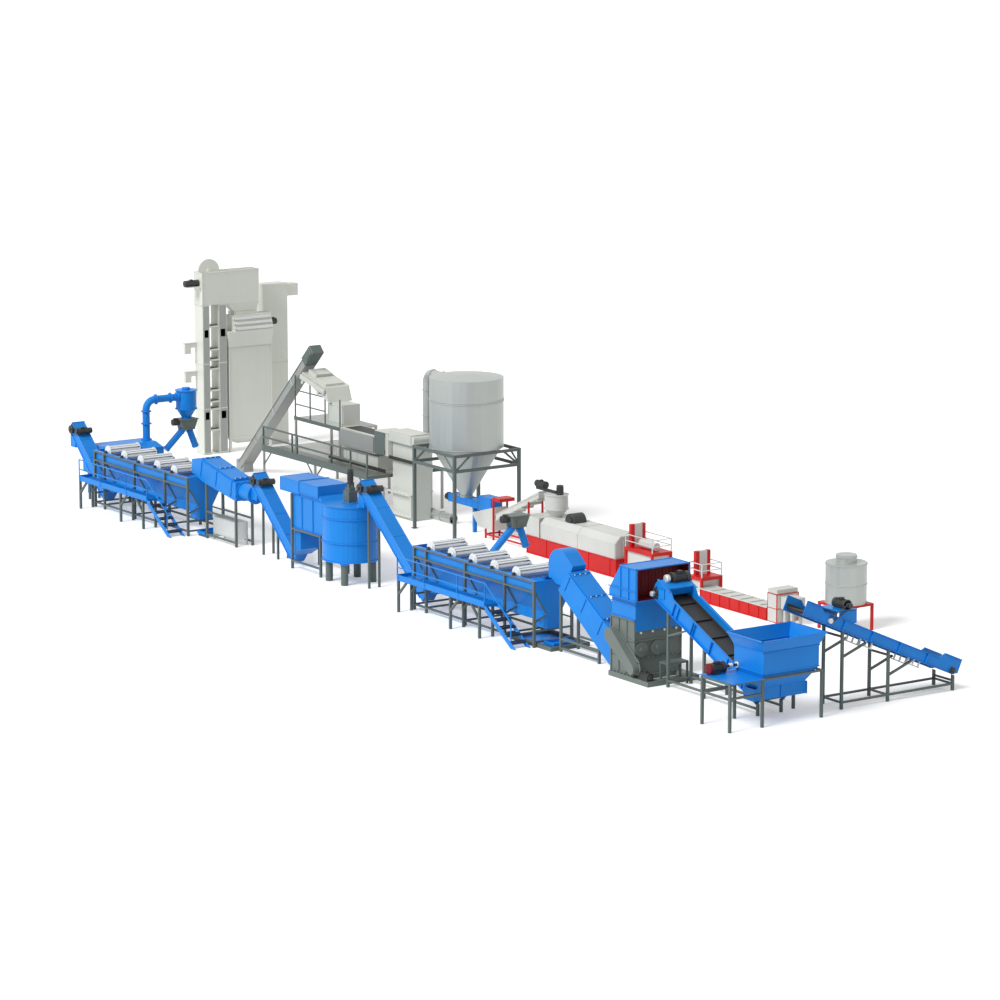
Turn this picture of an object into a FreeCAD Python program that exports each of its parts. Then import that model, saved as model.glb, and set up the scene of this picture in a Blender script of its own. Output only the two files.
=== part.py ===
import FreeCAD
import Part
import Sketcher
import math
import os

# Plastic washing line, a scale model at 1:2, in millimetres
# The line runs along X, from the feed conveyor at +X to the tower at -X, and stands on Z = 0.
# The origin is on the floor under the middle of the crusher's base frame.

doc = FreeCAD.newDocument("washing_line")
sheet = doc.addObject("Spreadsheet::Sheet", "Sizes")


class Size:
    """A length, or a number, worked out from the sheet: its value now and its formula."""

    def __init__(self, number, formula):
        self.number = number
        self.formula = formula

    def __add__(self, other):
        other = as_size(other)
        return Size(self.number + other.number, f"({self.formula} + {other.formula})")

    def __radd__(self, other):
        return as_size(other) + self

    def __sub__(self, other):
        other = as_size(other)
        return Size(self.number - other.number, f"({self.formula} - {other.formula})")

    def __rsub__(self, other):
        return as_size(other) - self

    def __mul__(self, other):
        other = as_size(other)
        return Size(self.number * other.number, f"({self.formula} * {other.formula})")

    def __rmul__(self, other):
        return as_size(other) * self

    def __truediv__(self, other):
        other = as_size(other)
        return Size(self.number / other.number, f"({self.formula} / {other.formula})")

    def __neg__(self):
        return Size(-self.number, f"(-1 * {self.formula})")


def as_size(value):
    """The value as a Size, so that plain numbers and sheet values can be mixed."""
    if isinstance(value, Size):
        return value
    return Size(float(value), repr(float(value)))


def slope_of(rise, run):
    """The angle of a slope in degrees."""
    rise, run = as_size(rise), as_size(run)
    angle = math.degrees(math.atan2(rise.number, run.number))
    return Size(angle, f"atan2({rise.formula}; {run.formula})")


def long_side(rise, run):
    """The length along a slope."""
    rise, run = as_size(rise), as_size(run)
    return Size(math.hypot(rise.number, run.number), f"hypot({rise.formula}; {run.formula})")


def sizes(**values):
    """Writes driving dimensions to the sheet and gives them back by name."""
    named = {}
    for name, number in values.items():
        row = len(row_names) + 1
        row_names.append(name)
        sheet.set(f"A{row}", name)
        sheet.set(f"B{row}", str(number))
        sheet.setAlias(f"B{row}", name)
        named[name] = Size(float(number), f"Sizes.{name}")
    return type("Group", (), named)


row_names = []


def bind(thing, prop, value):
    """Sets a property from a Size by its formula, and from a number directly."""
    if isinstance(value, Size):
        thing.setExpression(prop, value.formula)
    else:
        setattr(thing, prop, value)


def place(thing, x, y, z, axis=None, angle=None):
    """Puts a thing at a point, turned about an axis."""
    if axis is not None:
        start = angle.number if isinstance(angle, Size) else angle
        thing.Placement = FreeCAD.Placement(FreeCAD.Vector(), FreeCAD.Rotation(FreeCAD.Vector(*axis), start))
        if isinstance(angle, Size):
            thing.setExpression("Placement.Rotation.Angle", angle.formula)
    for name, value in (("x", x), ("y", y), ("z", z)):
        thing.setExpression(f"Placement.Base.{name}", as_size(value).formula)
    return thing


def box(x, y, z, length, width, height):
    """A block by its lowest corner and its size."""
    block = doc.addObject("Part::Box", "Block")
    bind(block, "Length", as_size(length))
    bind(block, "Width", as_size(width))
    bind(block, "Height", as_size(height))
    return place(block, x, y, z)


def between(low, high):
    """A block by two opposite corners."""
    spans = [as_size(b) - as_size(a) for a, b in zip(low, high)]
    return box(*low, *spans)


ALONG = {"X": ((0, 1, 0), 90), "Y": ((1, 0, 0), -90), "Z": None}


def with_turn(thing, x, y, z, along):
    """Puts a round piece at a point, so that it runs along +X, +Y or +Z."""
    turn = ALONG[along]
    if turn is None:
        return place(thing, x, y, z)
    return place(thing, x, y, z, *turn)


def cylinder(x, y, z, radius, length, along="Z"):
    """A turned round bar from a point, along +X, +Y or +Z."""
    bar = doc.addObject("Part::Cylinder", "Round")
    bind(bar, "Radius", as_size(radius))
    bind(bar, "Height", as_size(length))
    return with_turn(bar, x, y, z, along)


def cut(whole, *tools):
    """One solid with others taken out of it."""
    for tool in tools:
        result = doc.addObject("Part::Cut", "Cut")
        result.Base = whole
        result.Tool = tool
        whole = result
    return whole


def join(*pieces):
    """Pieces welded into one solid."""
    pieces = list(pieces)
    if len(pieces) == 1:
        return pieces[0]
    welded = doc.addObject("Part::MultiFuse", "Welded")
    welded.Shapes = pieces
    welded.Refine = True
    return welded


def faceted(x, y, z, radius, length, sides, along="Z"):
    """A rolled round with flat facets, from a point along +X, +Y or +Z."""
    bar = doc.addObject("Part::Prism", "Faceted")
    bar.Polygon = sides
    bind(bar, "Circumradius", as_size(radius))
    bind(bar, "Height", as_size(length))
    return with_turn(bar, x, y, z, along)


def faceted_tube(x, y, z, radius, wall, length, sides, along="Z"):
    """A rolled shell with flat facets, open at both ends."""
    outer = faceted(x, y, z, radius, length, sides, along)
    return cut(outer, faceted(x, y, z, radius - wall, length, sides, along))


def faceted_cone(x, y, z, low_radius, high_radius, length, sides):
    """A folded cone between two regular outlines."""
    rings = []
    for level, radius in ((as_size(z), low_radius), (as_size(z) + length, high_radius)):
        ring = doc.addObject("Part::RegularPolygon", "Ring")
        ring.Polygon = sides
        bind(ring, "Circumradius", as_size(radius))
        rings.append(place(ring, x, y, level))
    loft = doc.addObject("Part::Loft", "Cone")
    loft.Sections = rings
    loft.Solid = True
    loft.Ruled = True
    return loft


def elbow(x, y, z, radius, bend_radius, sides, axis, toward):
    """A quarter bend of a faceted pipe: it starts upward or downward at a point and turns sideways.

    toward is the unit step from the pipe to the bend's centre, and axis the way the bend turns about.
    """
    ring = doc.addObject("Part::RegularPolygon", "Ring")
    ring.Polygon = sides
    bind(ring, "Circumradius", as_size(radius))
    place(ring, x, y, z)
    turn = doc.addObject("Part::Revolution", "Elbow")
    turn.Source = ring
    turn.Axis = FreeCAD.Vector(*axis)
    turn.Angle = 90
    turn.Solid = True
    for name, start, step in (("x", x, toward[0]), ("y", y, toward[1]), ("z", z, 0)):
        turn.setExpression(f"Base.{name}", (as_size(start) + as_size(bend_radius) * step).formula)
    return turn


# The plane of a flat profile: its origin plane, and the axis and sense that a slope turns about
PLANES = {"Y": ("XZ_Plane", (0, -1, 0)), "X": ("YZ_Plane", (1, 0, 0)), "Z": ("XY_Plane", (0, 0, 1))}


def profile(across, points, depth, origin=(0, 0, 0), tilt=None):
    """A plate or bar: a closed outline of straight sides, made thick along X, Y or Z.

    across is the axis that the outline is seen along. Its points are (x, z), (y, z) or (x, y).
    """
    plane_name, tilt_axis = PLANES[across]
    body = doc.addObject("PartDesign::Body", "Profile")
    sketch = body.newObject("Sketcher::SketchObject", "Outline")
    plane = [p for p in body.Origin.OriginFeatures if p.Role == plane_name][0]
    sketch.AttachmentSupport = [(plane, "")]
    sketch.MapMode = "FlatFace"
    points = [(as_size(a), as_size(b)) for a, b in points]
    count = len(points)
    corners = [FreeCAD.Vector(a.number, b.number, 0) for a, b in points]
    lines = [Part.LineSegment(corners[i], corners[(i + 1) % count]) for i in range(count)]
    sketch.addGeometry(lines, False)
    for i in range(count):
        sketch.addConstraint(Sketcher.Constraint("Coincident", i, 2, (i + 1) % count, 1))
    for i, (a, b) in enumerate(points):
        for kind, value in (("DistanceX", a), ("DistanceY", b)):
            index = sketch.addConstraint(Sketcher.Constraint(kind, -1, 1, i, 1, value.number))
            if "Sizes" in value.formula:
                sketch.setExpression(f"Constraints[{index}]", value.formula)
    pad = body.newObject("PartDesign::Pad", "Pad")
    pad.Profile = sketch
    bind(pad, "Length", as_size(depth))
    pad.Reversed = across == "Y"
    if tilt is None:
        return place(body, *origin)
    return place(body, *origin, tilt_axis, tilt)


def strut(across, start, end, wide, at, depth):
    """A straight bar from one point to another in a plane, centred on the line between them."""
    rise = as_size(end[1]) - start[1]
    run = as_size(end[0]) - start[0]
    reach = long_side(rise, run)
    half = as_size(wide) / 2
    outline = [(0, -half), (reach, -half), (reach, half), (0, half)]
    origin = {"Y": (start[0], at, start[1]), "X": (at, start[0], start[1])}[across]
    return profile(across, outline, depth, origin, slope_of(rise, run))


def frustum(low, high, low_corners, high_corners):
    """A block with a smaller or larger top: z from low to high, corners as (x0, y0, x1, y1)."""
    wedge = doc.addObject("Part::Wedge", "Frustum")
    x0, y0, x1, y1 = [as_size(v) for v in low_corners]
    u0, v0, u1, v1 = [as_size(v) for v in high_corners]
    # The wedge tapers along its own Y, so it is turned to taper along Z.
    rise = as_size(high) - low
    for name, value in (("Xmin", x0), ("Xmax", x1), ("X2min", u0), ("X2max", u1),
                        ("Zmin", -y1), ("Zmax", -y0), ("Z2min", -v1), ("Z2max", -v0),
                        ("Ymin", as_size(0)), ("Ymax", rise)):
        wedge.setExpression(name, value.formula)
    return place(wedge, 0, 0, low, (1, 0, 0), 90)


parts = {}


def node(name, *pieces):
    """Names a sub-part. Several solids in one sub-part don't touch each other."""
    pieces = list(pieces)
    if len(pieces) == 1:
        whole = pieces[0]
    else:
        whole = doc.addObject("Part::Compound", "Group")
        whole.Links = pieces
    whole.Label = name
    parts[name] = whole


def posts_and_rails(across, at, depth, post, posts, rails, struts=(), wide=None):
    """A flat welded side: posts as (place, foot, top), rails as (start, end, top), struts as point pairs.

    A post's top is a height, or the line that it is cut to, as a function of the place.
    """
    wide = wide or post
    pieces = []
    for spot, foot, top in posts:
        left, right = spot - post / 2, spot + post / 2
        if callable(top):
            outline = [(left, foot), (right, foot), (right, top(right)), (left, top(left))]
            pieces.append(profile(across, outline, depth, (0, at, 0) if across == "Y" else (at, 0, 0)))
        else:
            pieces.append(side_block(across, at, depth, left, foot, right, top))
    for start, end, level in rails:
        pieces.append(side_block(across, at, depth, start, level - wide, end, level))
    for start, end in struts:
        pieces.append(strut(across, start, end, wide, at, depth))
    return join(*pieces)


def side_block(across, at, depth, start, low, end, high):
    """A block in a flat side that is seen along X or Y."""
    if across == "Y":
        return box(start, at, low, as_size(end) - start, depth, as_size(high) - low)
    return box(at, start, low, depth, as_size(end) - start, as_size(high) - low)


# Sheet, frame and clearance sizes that every machine shares
shared = sizes(wall=12, post=50, rail=36, joint_gap=0.3, motor_radius=75, motor_sides=16)

cross_ties = []


def tie(x0, y0, z0, x1, y1, z1):
    """A loose cross beam between two frame sides, kept for the shared node of ties."""
    cross_ties.append(between((x0, y0, z0), (x1, y1, z1)))


# Feed belt conveyor, which runs along Y and rises towards the hopper
feed = sizes(feed_middle_x=3815, feed_width=600, feed_head_y=420, feed_head_z=1900, feed_tail_y=4000,
             feed_tail_z=330, feed_wall=210, feed_belt_seat=70, feed_belt_half=35, feed_belt_nose=30,
             feed_belt_past=100, feed_leg_1=1335, feed_leg_2=2455, feed_leg_3=4060, feed_low_rail=150,
             feed_cheek_high=290, feed_cheek_run=300, feed_cheek_fall=100, feed_nose=60, feed_lip_high=330,
             feed_lip_run=320, feed_lip_fall=110, feed_lip_out=150, feed_lip_drop=60, feed_strut_run=560,
             feed_strut_drop=500, feed_strut_seat=50, feed_tie_drop=90)


def feed_line_z(y):
    """Height of the trough's lower edge at a place along the conveyor."""
    return feed.feed_head_z + (y - feed.feed_head_y) * (feed.feed_tail_z - feed.feed_head_z) / (
        feed.feed_tail_y - feed.feed_head_y)


feed_run = feed.feed_tail_y - feed.feed_head_y
feed_drop = feed.feed_tail_z - feed.feed_head_z
feed_length = long_side(feed_drop, feed_run)
feed_tilt = slope_of(feed_drop, feed_run)
feed_left = feed.feed_middle_x - feed.feed_width / 2
feed_right = feed.feed_middle_x + feed.feed_width / 2
feed_lip = feed_length + feed.feed_lip_out
feed_wall_outline = [
    (-feed.feed_nose, 0), (feed_length, 0), (feed_lip, feed.feed_lip_drop), (feed_lip, feed.feed_lip_high),
    (feed_length - feed.feed_lip_run, feed.feed_lip_high),
    (feed_length - feed.feed_lip_run - feed.feed_lip_fall, feed.feed_wall),
    (feed.feed_cheek_run + feed.feed_cheek_fall, feed.feed_wall), (feed.feed_cheek_run, feed.feed_cheek_high),
    (-feed.feed_nose, feed.feed_cheek_high)]
feed_walls = [profile("X", feed_wall_outline, shared.wall, (x, feed.feed_head_y, feed.feed_head_z), feed_tilt)
              for x in (feed_left, feed_right - shared.wall)]


def belt_loop(start, end, seat, half, nose):
    """The side outline of a belt that runs round a head and a tail roller."""
    return [(start, seat), (start + nose, seat - half), (end - nose, seat - half), (end, seat),
            (end - nose, seat + half), (start + nose, seat + half)]


feed_belt = profile("X", belt_loop(as_size(0), feed_length + feed.feed_belt_past, feed.feed_belt_seat,
                                   feed.feed_belt_half, feed.feed_belt_nose),
                    feed.feed_width - 2 * shared.wall - 2 * shared.joint_gap,
                    (feed_left + shared.wall + shared.joint_gap, feed.feed_head_y, feed.feed_head_z), feed_tilt)

feed_legs = (feed.feed_leg_1, feed.feed_leg_2, feed.feed_leg_3)
feed_sides = []
for x in (feed_left, feed_right - shared.post):
    posts = [(y, as_size(0), feed_line_z) for y in feed_legs]
    struts = [((y, feed_line_z(y) - feed.feed_strut_drop),
               (y + feed.feed_strut_run, feed_line_z(y + feed.feed_strut_run) - feed.feed_strut_seat))
              for y in feed_legs[:2]]
    feed_sides.append(posts_and_rails("X", x, shared.post, shared.post, posts,
                                      [(feed.feed_leg_1, feed.feed_leg_3, feed.feed_low_rail)], struts,
                                      shared.rail))
for y in feed_legs:
    for level in (feed.feed_low_rail, feed_line_z(y) - feed.feed_tie_drop):
        tie(feed_left + shared.post, y - shared.rail / 2, level - shared.rail, feed_right - shared.post,
            y + shared.rail / 2, level)

# Crusher belt conveyor, which runs along X and rises into the crusher's mouth
lift = sizes(lift_middle_y=0, lift_width=600, lift_head_x=330, lift_head_z=1735, lift_tail_x=3640,
             lift_tail_z=232, lift_wall=300, lift_belt_seat=95, lift_belt_half=40, lift_belt_start=40,
             lift_leg_1=830, lift_leg_2=1965, lift_leg_3=3620, lift_low_rail=150, lift_nose=60, lift_nose_rise=120,
             lift_tail_cut=20, lift_cheek_high=390, lift_cheek_start=60, lift_cheek_end=480,
             lift_cheek_foot=620, lift_head_cut=60, lift_strut_run=560, lift_strut_drop=500,
             lift_strut_seat=50, lift_tie_drop=90, lift_fin=40, lift_fin_pitch=560, lift_fin_start=300,
             lift_box_start=90, lift_box_end=400, lift_box_deep=150)


def lift_line_z(x):
    """Height of the trough's lower edge at a place along the crusher conveyor."""
    return lift.lift_head_z + (x - lift.lift_head_x) * (lift.lift_tail_z - lift.lift_head_z) / (
        lift.lift_tail_x - lift.lift_head_x)


lift_run = lift.lift_tail_x - lift.lift_head_x
lift_drop = lift.lift_tail_z - lift.lift_head_z
lift_length = long_side(lift_drop, lift_run)
lift_tilt = slope_of(lift_drop, lift_run)
lift_near = lift.lift_middle_y - lift.lift_width / 2
lift_far = lift.lift_middle_y + lift.lift_width / 2
lift_wall_outline = [
    (0, 0), (lift_length, 0), (lift_length + lift.lift_nose, lift.lift_nose_rise),
    (lift_length - lift.lift_tail_cut, lift.lift_wall), (lift.lift_cheek_foot, lift.lift_wall),
    (lift.lift_cheek_end, lift.lift_cheek_high), (lift.lift_cheek_start, lift.lift_cheek_high),
    (0, lift.lift_wall - lift.lift_head_cut)]
lift_walls = []
for y, out in ((lift_near, -1), (lift_far - shared.wall, 1)):
    wall = profile("Y", lift_wall_outline, shared.wall, (lift.lift_head_x, y, lift.lift_head_z), lift_tilt)
    fin_y = y - lift.lift_fin if out < 0 else y + shared.wall
    fins = [profile("Y", [(at, 0), (at + shared.wall, 0), (at + shared.wall, lift.lift_wall),
                          (at, lift.lift_wall)], lift.lift_fin, (lift.lift_head_x, fin_y, lift.lift_head_z),
                    lift_tilt)
            for at in [lift.lift_fin_start + lift.lift_fin_pitch * n for n in range(1, 6)]]
    lift_walls.append(join(wall, *fins))
box_low = lift.lift_cheek_high - lift.lift_box_deep
lift_head_box = profile(
    "Y", [(lift.lift_box_start, box_low), (lift.lift_box_end, box_low),
          (lift.lift_box_end, lift.lift_cheek_high), (lift.lift_box_start, lift.lift_cheek_high)],
    lift.lift_width - 2 * shared.wall,
    (lift.lift_head_x, lift_near + shared.wall, lift.lift_head_z), lift_tilt)
node("conveyor_walls", *feed_walls, join(*lift_walls, lift_head_box))
lift_belt = profile("Y", belt_loop(-lift.lift_belt_start, lift_length + lift.lift_belt_half,
                                   lift.lift_belt_seat, lift.lift_belt_half, lift.lift_belt_start),
                    lift.lift_width - 2 * shared.wall - 2 * shared.joint_gap,
                    (lift.lift_head_x, lift_near + shared.wall + shared.joint_gap, lift.lift_head_z), lift_tilt)

lift_legs = (lift.lift_leg_1, lift.lift_leg_2, lift.lift_leg_3)
lift_sides = []
for y in (lift_near, lift_far - shared.post):
    posts = [(x, as_size(0), lift_line_z) for x in lift_legs]
    struts = [((lift.lift_leg_1, lift_line_z(lift.lift_leg_1) - lift.lift_strut_drop),
               (lift.lift_leg_1 + lift.lift_strut_run,
                lift_line_z(lift.lift_leg_1 + lift.lift_strut_run) - lift.lift_strut_seat))]
    lift_sides.append(posts_and_rails("Y", y, shared.post, shared.post, posts,
                                      [(lift.lift_leg_1, lift.lift_leg_3, lift.lift_low_rail)], struts,
                                      shared.rail))
for x in lift_legs[:2]:
    for level in (lift.lift_low_rail, lift_line_z(x) - lift.lift_tie_drop):
        tie(x - shared.rail / 2, lift_near + shared.post, level - shared.rail, x + shared.rail / 2,
            lift_far - shared.post, level)

node("conveyor_belts", feed_belt, lift_belt)

# Feed hopper with a screw trough under it, on its own frame, and the screw's motor on a deck plate
hopper = sizes(hopper_left=3500, hopper_right=4384, hopper_near=-750, hopper_far=547, hopper_low=1000,
               hopper_body_top=1400, hopper_rim=1640, hopper_flare=100, hopper_taper_low=660,
               screw_trough_half=150, trough_near=-720, trough_far=500, trough_bottom=430, neck_inset=60,
               hopper_frame_top=915, hopper_frame_near=-1500, hopper_frame_far=640, hopper_low_rail=650,
               deck_plate=10, screw_motor_x=3600, screw_motor_z=1040, screw_motor_long=330,
               screw_motor_near=-1400, screw_shaft=30)
trough_middle = (hopper.hopper_left + hopper.hopper_right) / 2
trough_left = trough_middle - hopper.screw_trough_half
trough_right = trough_middle + hopper.screw_trough_half


def hopper_shape(inset):
    """The hopper's solid form, or with an inset the space inside it."""
    body = (hopper.hopper_left + inset, hopper.hopper_near + inset, hopper.hopper_right - inset,
            hopper.hopper_far - inset)
    rim = (hopper.hopper_left - hopper.hopper_flare + inset, hopper.hopper_near - hopper.hopper_flare + inset,
           hopper.hopper_right + hopper.hopper_flare - inset, hopper.hopper_far + hopper.hopper_flare - inset)
    neck = (trough_left + inset, hopper.trough_near + hopper.neck_inset + inset, trough_right - inset,
            hopper.trough_far - hopper.neck_inset - inset)
    return join(frustum(hopper.hopper_taper_low, hopper.hopper_low, neck, body),
                between((body[0], body[1], hopper.hopper_low), (body[2], body[3], hopper.hopper_body_top)),
                frustum(hopper.hopper_body_top, hopper.hopper_rim, body, rim))


node("feed_hopper", cut(hopper_shape(as_size(0)), hopper_shape(shared.wall)))
trough_deep = hopper.hopper_taper_low - hopper.trough_bottom
node("hopper_screw_trough", cut(
    box(trough_left, hopper.trough_near, hopper.trough_bottom, 2 * hopper.screw_trough_half,
        hopper.trough_far - hopper.trough_near, trough_deep),
    box(trough_left + shared.wall, hopper.trough_near + shared.wall, hopper.trough_bottom + shared.wall,
        2 * hopper.screw_trough_half - 2 * shared.wall,
        hopper.trough_far - hopper.trough_near - 2 * shared.wall, trough_deep)))

hopper_spots = (hopper.hopper_frame_near, hopper.hopper_near, hopper.hopper_frame_far)
hopper_sides = []
for x in (hopper.hopper_left, hopper.hopper_right - shared.post):
    hopper_sides.append(posts_and_rails(
        "X", x, shared.post, shared.post, [(y, as_size(0), hopper.hopper_frame_top) for y in hopper_spots],
        [(hopper.hopper_frame_near, hopper.hopper_frame_far, hopper.hopper_frame_top),
         (hopper.hopper_frame_near, hopper.hopper_near, hopper.hopper_low_rail)], (), shared.rail))
deck_low = hopper.hopper_frame_top + shared.joint_gap
deck_plate = between((hopper.hopper_left, hopper.hopper_frame_near, deck_low),
                     (hopper.hopper_right, hopper.hopper_near - shared.post, deck_low + hopper.deck_plate))
node("hopper_frame", *hopper_sides, deck_plate)
for y in hopper_spots:
    tie(hopper.hopper_left + shared.post, y - shared.rail / 2, hopper.hopper_frame_top - shared.rail,
        hopper.hopper_right - shared.post, y + shared.rail / 2, hopper.hopper_frame_top)
motor_seat = deck_low + hopper.deck_plate
hopper_motor = join(
    faceted(hopper.screw_motor_x, hopper.screw_motor_near, hopper.screw_motor_z, shared.motor_radius,
            hopper.screw_motor_long, 16, "Y"),
    box(hopper.screw_motor_x - shared.motor_radius, hopper.screw_motor_near + shared.post, motor_seat,
        2 * shared.motor_radius, hopper.screw_motor_long / 2,
        hopper.screw_motor_z - shared.motor_radius / 2 - motor_seat),
    faceted(hopper.screw_motor_x, hopper.screw_motor_near + hopper.screw_motor_long, hopper.screw_motor_z,
            hopper.screw_shaft, hopper.hopper_near - hopper.screw_motor_near - hopper.screw_motor_long, 8, "Y"))

# Crusher on its base frame, with the blue hood, its dark lining and the belt guard
crusher = sizes(crusher_base_length=1290, crusher_base_width=1240, crusher_base_height=100, base_edge=180,
                base_middle_bar=90, crusher_back=-630, crusher_front=110, crusher_half=550,
                crusher_body_top=1200, hood_half=620, hood_mouth_x=282, hood_mouth_low=1605, hood_top=2240,
                hood_back_top=-272, hood_knee=1733, hood_skirt=987, lining_x=0, lining_thick=8,
                guard_radius=150, guard_upper_x=-500, guard_upper_z=830, guard_lower_x=200,
                guard_lower_z=290, guard_lower_radius=110, guard_thick=170, front_rib=30, step_left=520,
                step_right=780, step_near=-250, step_far=250, step_top=450, base_motor_x=330,
                base_motor_y=-530, base_motor_long=270)
base_half_length = crusher.crusher_base_length / 2
base_half_width = crusher.crusher_base_width / 2
base_slot = crusher.crusher_base_width - 2 * crusher.base_edge
slot_length = base_half_length - crusher.base_edge - crusher.base_middle_bar
node("crusher_base", cut(
    box(-base_half_length, -base_half_width, 0, crusher.crusher_base_length, crusher.crusher_base_width,
        crusher.crusher_base_height),
    box(-base_half_length + crusher.base_edge, -base_half_width + crusher.base_edge, 0, slot_length, base_slot,
        crusher.crusher_base_height),
    box(crusher.base_middle_bar, -base_half_width + crusher.base_edge, 0, slot_length, base_slot,
        crusher.crusher_base_height)))
node("crusher_body", between(
    (crusher.crusher_back, -crusher.crusher_half, crusher.crusher_base_height),
    (crusher.crusher_front, crusher.crusher_half, crusher.crusher_body_top)))
hood_lower = between((crusher.crusher_back, -crusher.crusher_half, crusher.crusher_body_top),
                     (crusher.crusher_front, crusher.crusher_half, crusher.hood_mouth_low))
skirt_low = crusher.hood_skirt
hood_skirt = between((crusher.crusher_front + shared.joint_gap, -crusher.crusher_half, skirt_low),
                     (crusher.crusher_front + crusher.front_rib, crusher.crusher_half, crusher.hood_mouth_low))
hood_outline = [(crusher.crusher_back, crusher.hood_mouth_low), (crusher.hood_mouth_x, crusher.hood_mouth_low),
                (crusher.hood_mouth_x, crusher.hood_top), (crusher.hood_back_top, crusher.hood_top),
                (crusher.crusher_back, crusher.hood_knee)]
hood_whole = profile("Y", hood_outline, 2 * crusher.hood_half, (0, -crusher.hood_half, 0))
inner_half = crusher.hood_half - shared.wall
inner_low = crusher.hood_mouth_low + shared.wall
inner_top = crusher.hood_top - shared.wall
hood_space = between((crusher.lining_x, -inner_half, inner_low),
                     (crusher.hood_mouth_x + shared.post, inner_half, inner_top))
node("crusher_hood", join(hood_lower, hood_skirt, cut(hood_whole, hood_space)))
lining = crusher.lining_thick
node("crusher_mouth_curtain", cut(
    between((crusher.lining_x, -inner_half, inner_low), (crusher.hood_mouth_x, inner_half, inner_top)),
    between((crusher.lining_x + lining, -inner_half + lining, inner_low + lining),
            (crusher.hood_mouth_x + shared.post, inner_half - lining, inner_top - lining))))
guard_y = -crusher.crusher_half - crusher.guard_thick
guard_rise = crusher.guard_upper_z - crusher.guard_lower_z
guard_run = crusher.guard_lower_x - crusher.guard_upper_x
guard_reach = long_side(guard_rise, guard_run)
node("crusher_belt_guard", join(
    faceted(crusher.guard_upper_x, guard_y, crusher.guard_upper_z, crusher.guard_radius, crusher.guard_thick,
            24, "Y"),
    faceted(crusher.guard_lower_x, guard_y, crusher.guard_lower_z, crusher.guard_lower_radius,
            crusher.guard_thick, 24, "Y"),
    profile("Y", [(0, -crusher.guard_radius), (guard_reach, -crusher.guard_lower_radius),
                  (guard_reach, crusher.guard_lower_radius), (0, crusher.guard_radius)], crusher.guard_thick,
            (crusher.guard_upper_x, guard_y, crusher.guard_upper_z), slope_of(-guard_rise, guard_run))))
step_table = join(
    between((crusher.step_left, crusher.step_near, crusher.step_top - shared.rail),
            (crusher.step_right, crusher.step_far, crusher.step_top)),
    *[between((x, y, foot), (x + shared.rail, y + shared.rail, crusher.step_top - shared.rail))
      for x, foot in ((crusher.step_left, crusher.crusher_base_height + shared.joint_gap),
                      (crusher.step_right - shared.rail, 0))
      for y in (crusher.step_near, crusher.step_far - shared.rail)])
node("conveyor_frames", *feed_sides, *lift_sides, step_table)
crusher_motor = join(
    faceted(crusher.base_motor_x, crusher.base_motor_y, crusher.crusher_base_height + shared.motor_radius,
            shared.motor_radius, crusher.base_motor_long, 16, "X"),
    box(crusher.base_motor_x, crusher.base_motor_y - shared.motor_radius, crusher.crusher_base_height,
        crusher.base_motor_long, 2 * shared.motor_radius, shared.motor_radius / 2))

# Friction washers, two inclined closed housings with rounded heads
washer = sizes(washer_half=237, washer_1_top_x=-2548, washer_1_top_z=1649, washer_1_low_x=-2897,
               washer_1_low_z=1237, washer_1_foot_x=-1150, washer_1_foot_z=60, washer_1_end_gap=4,
               washer_1_end_z=470, head_half=170, head_round_x=-2960, head_round_z=1690, head_radius=360,
               head_low=1420, head_shoulder=299, head_shoulder_x=200, head_seat=60, head_seat_rise=130,
               washer_leg_high=-2820, washer_leg_low=-1516, washer_rail_high=280, washer_rail_low=90,
               washer_2_top_x=-17144, washer_2_top_z=1802, washer_2_end_x=-15450, washer_2_end_z=1478,
               washer_2_low_z=1057, washer_2_back_z=1290, washer_2_start=200, washer_2_shoulder=120,
               washer_2_nose=260, washer_2_nose_fall=60, washer_2_nose_rise=140, washer_2_leg=360,
               washer_2_leg_end=40, washer_2_rail_high=640, washer_2_rail_low=110, inlet_radius=190,
               inlet_length=480, inlet_flange=215, inlet_flange_thick=30, outlet_pipe=70,
               outlet_pipe_x=-15376)
washer_1_end_x = crusher.crusher_back - shared.wall - washer.washer_1_end_gap
washer_1 = profile("Y", [
    (washer.washer_1_low_x, washer.washer_1_low_z), (washer.washer_1_foot_x, washer.washer_1_foot_z),
    (washer_1_end_x, washer.washer_1_foot_z), (washer_1_end_x, washer.washer_1_end_z),
    (washer.washer_1_top_x, washer.washer_1_top_z)], 2 * washer.washer_half, (0, -washer.washer_half, 0))
head_left = washer.head_round_x - washer.head_radius
head_1 = join(
    faceted(washer.head_round_x, -washer.head_half, washer.head_round_z, washer.head_radius,
            2 * washer.head_half, 32, "Y"),
    profile("Y", [
        (head_left, washer.head_low), (washer.washer_1_low_x, washer.head_low),
        (washer.washer_1_low_x, washer.washer_1_low_z), (washer.washer_1_top_x, washer.washer_1_top_z),
        (washer.washer_1_top_x + washer.head_seat, washer.washer_1_top_z + washer.head_seat_rise),
        (washer.head_round_x + washer.head_shoulder_x, washer.head_round_z + washer.head_shoulder),
        (head_left, washer.head_round_z)], 2 * washer.head_half, (0, -washer.head_half, 0)))
washer_2_nose_x = washer.washer_2_top_x - washer.washer_2_nose
washer_2 = profile("Y", [
    (washer.washer_2_top_x + washer.washer_2_start, washer.washer_2_back_z),
    (washer.washer_2_end_x, washer.washer_2_low_z), (washer.washer_2_end_x, washer.washer_2_end_z),
    (washer.washer_2_top_x + washer.washer_2_shoulder, washer.washer_2_top_z),
    (washer_2_nose_x, washer.washer_2_top_z - washer.washer_2_nose_fall),
    (washer_2_nose_x, washer.washer_2_back_z + washer.washer_2_nose_rise)],
    2 * washer.washer_half, (0, -washer.washer_half, 0))
inlet_z = (washer.washer_2_low_z + washer.washer_2_end_z) / 2
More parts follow.
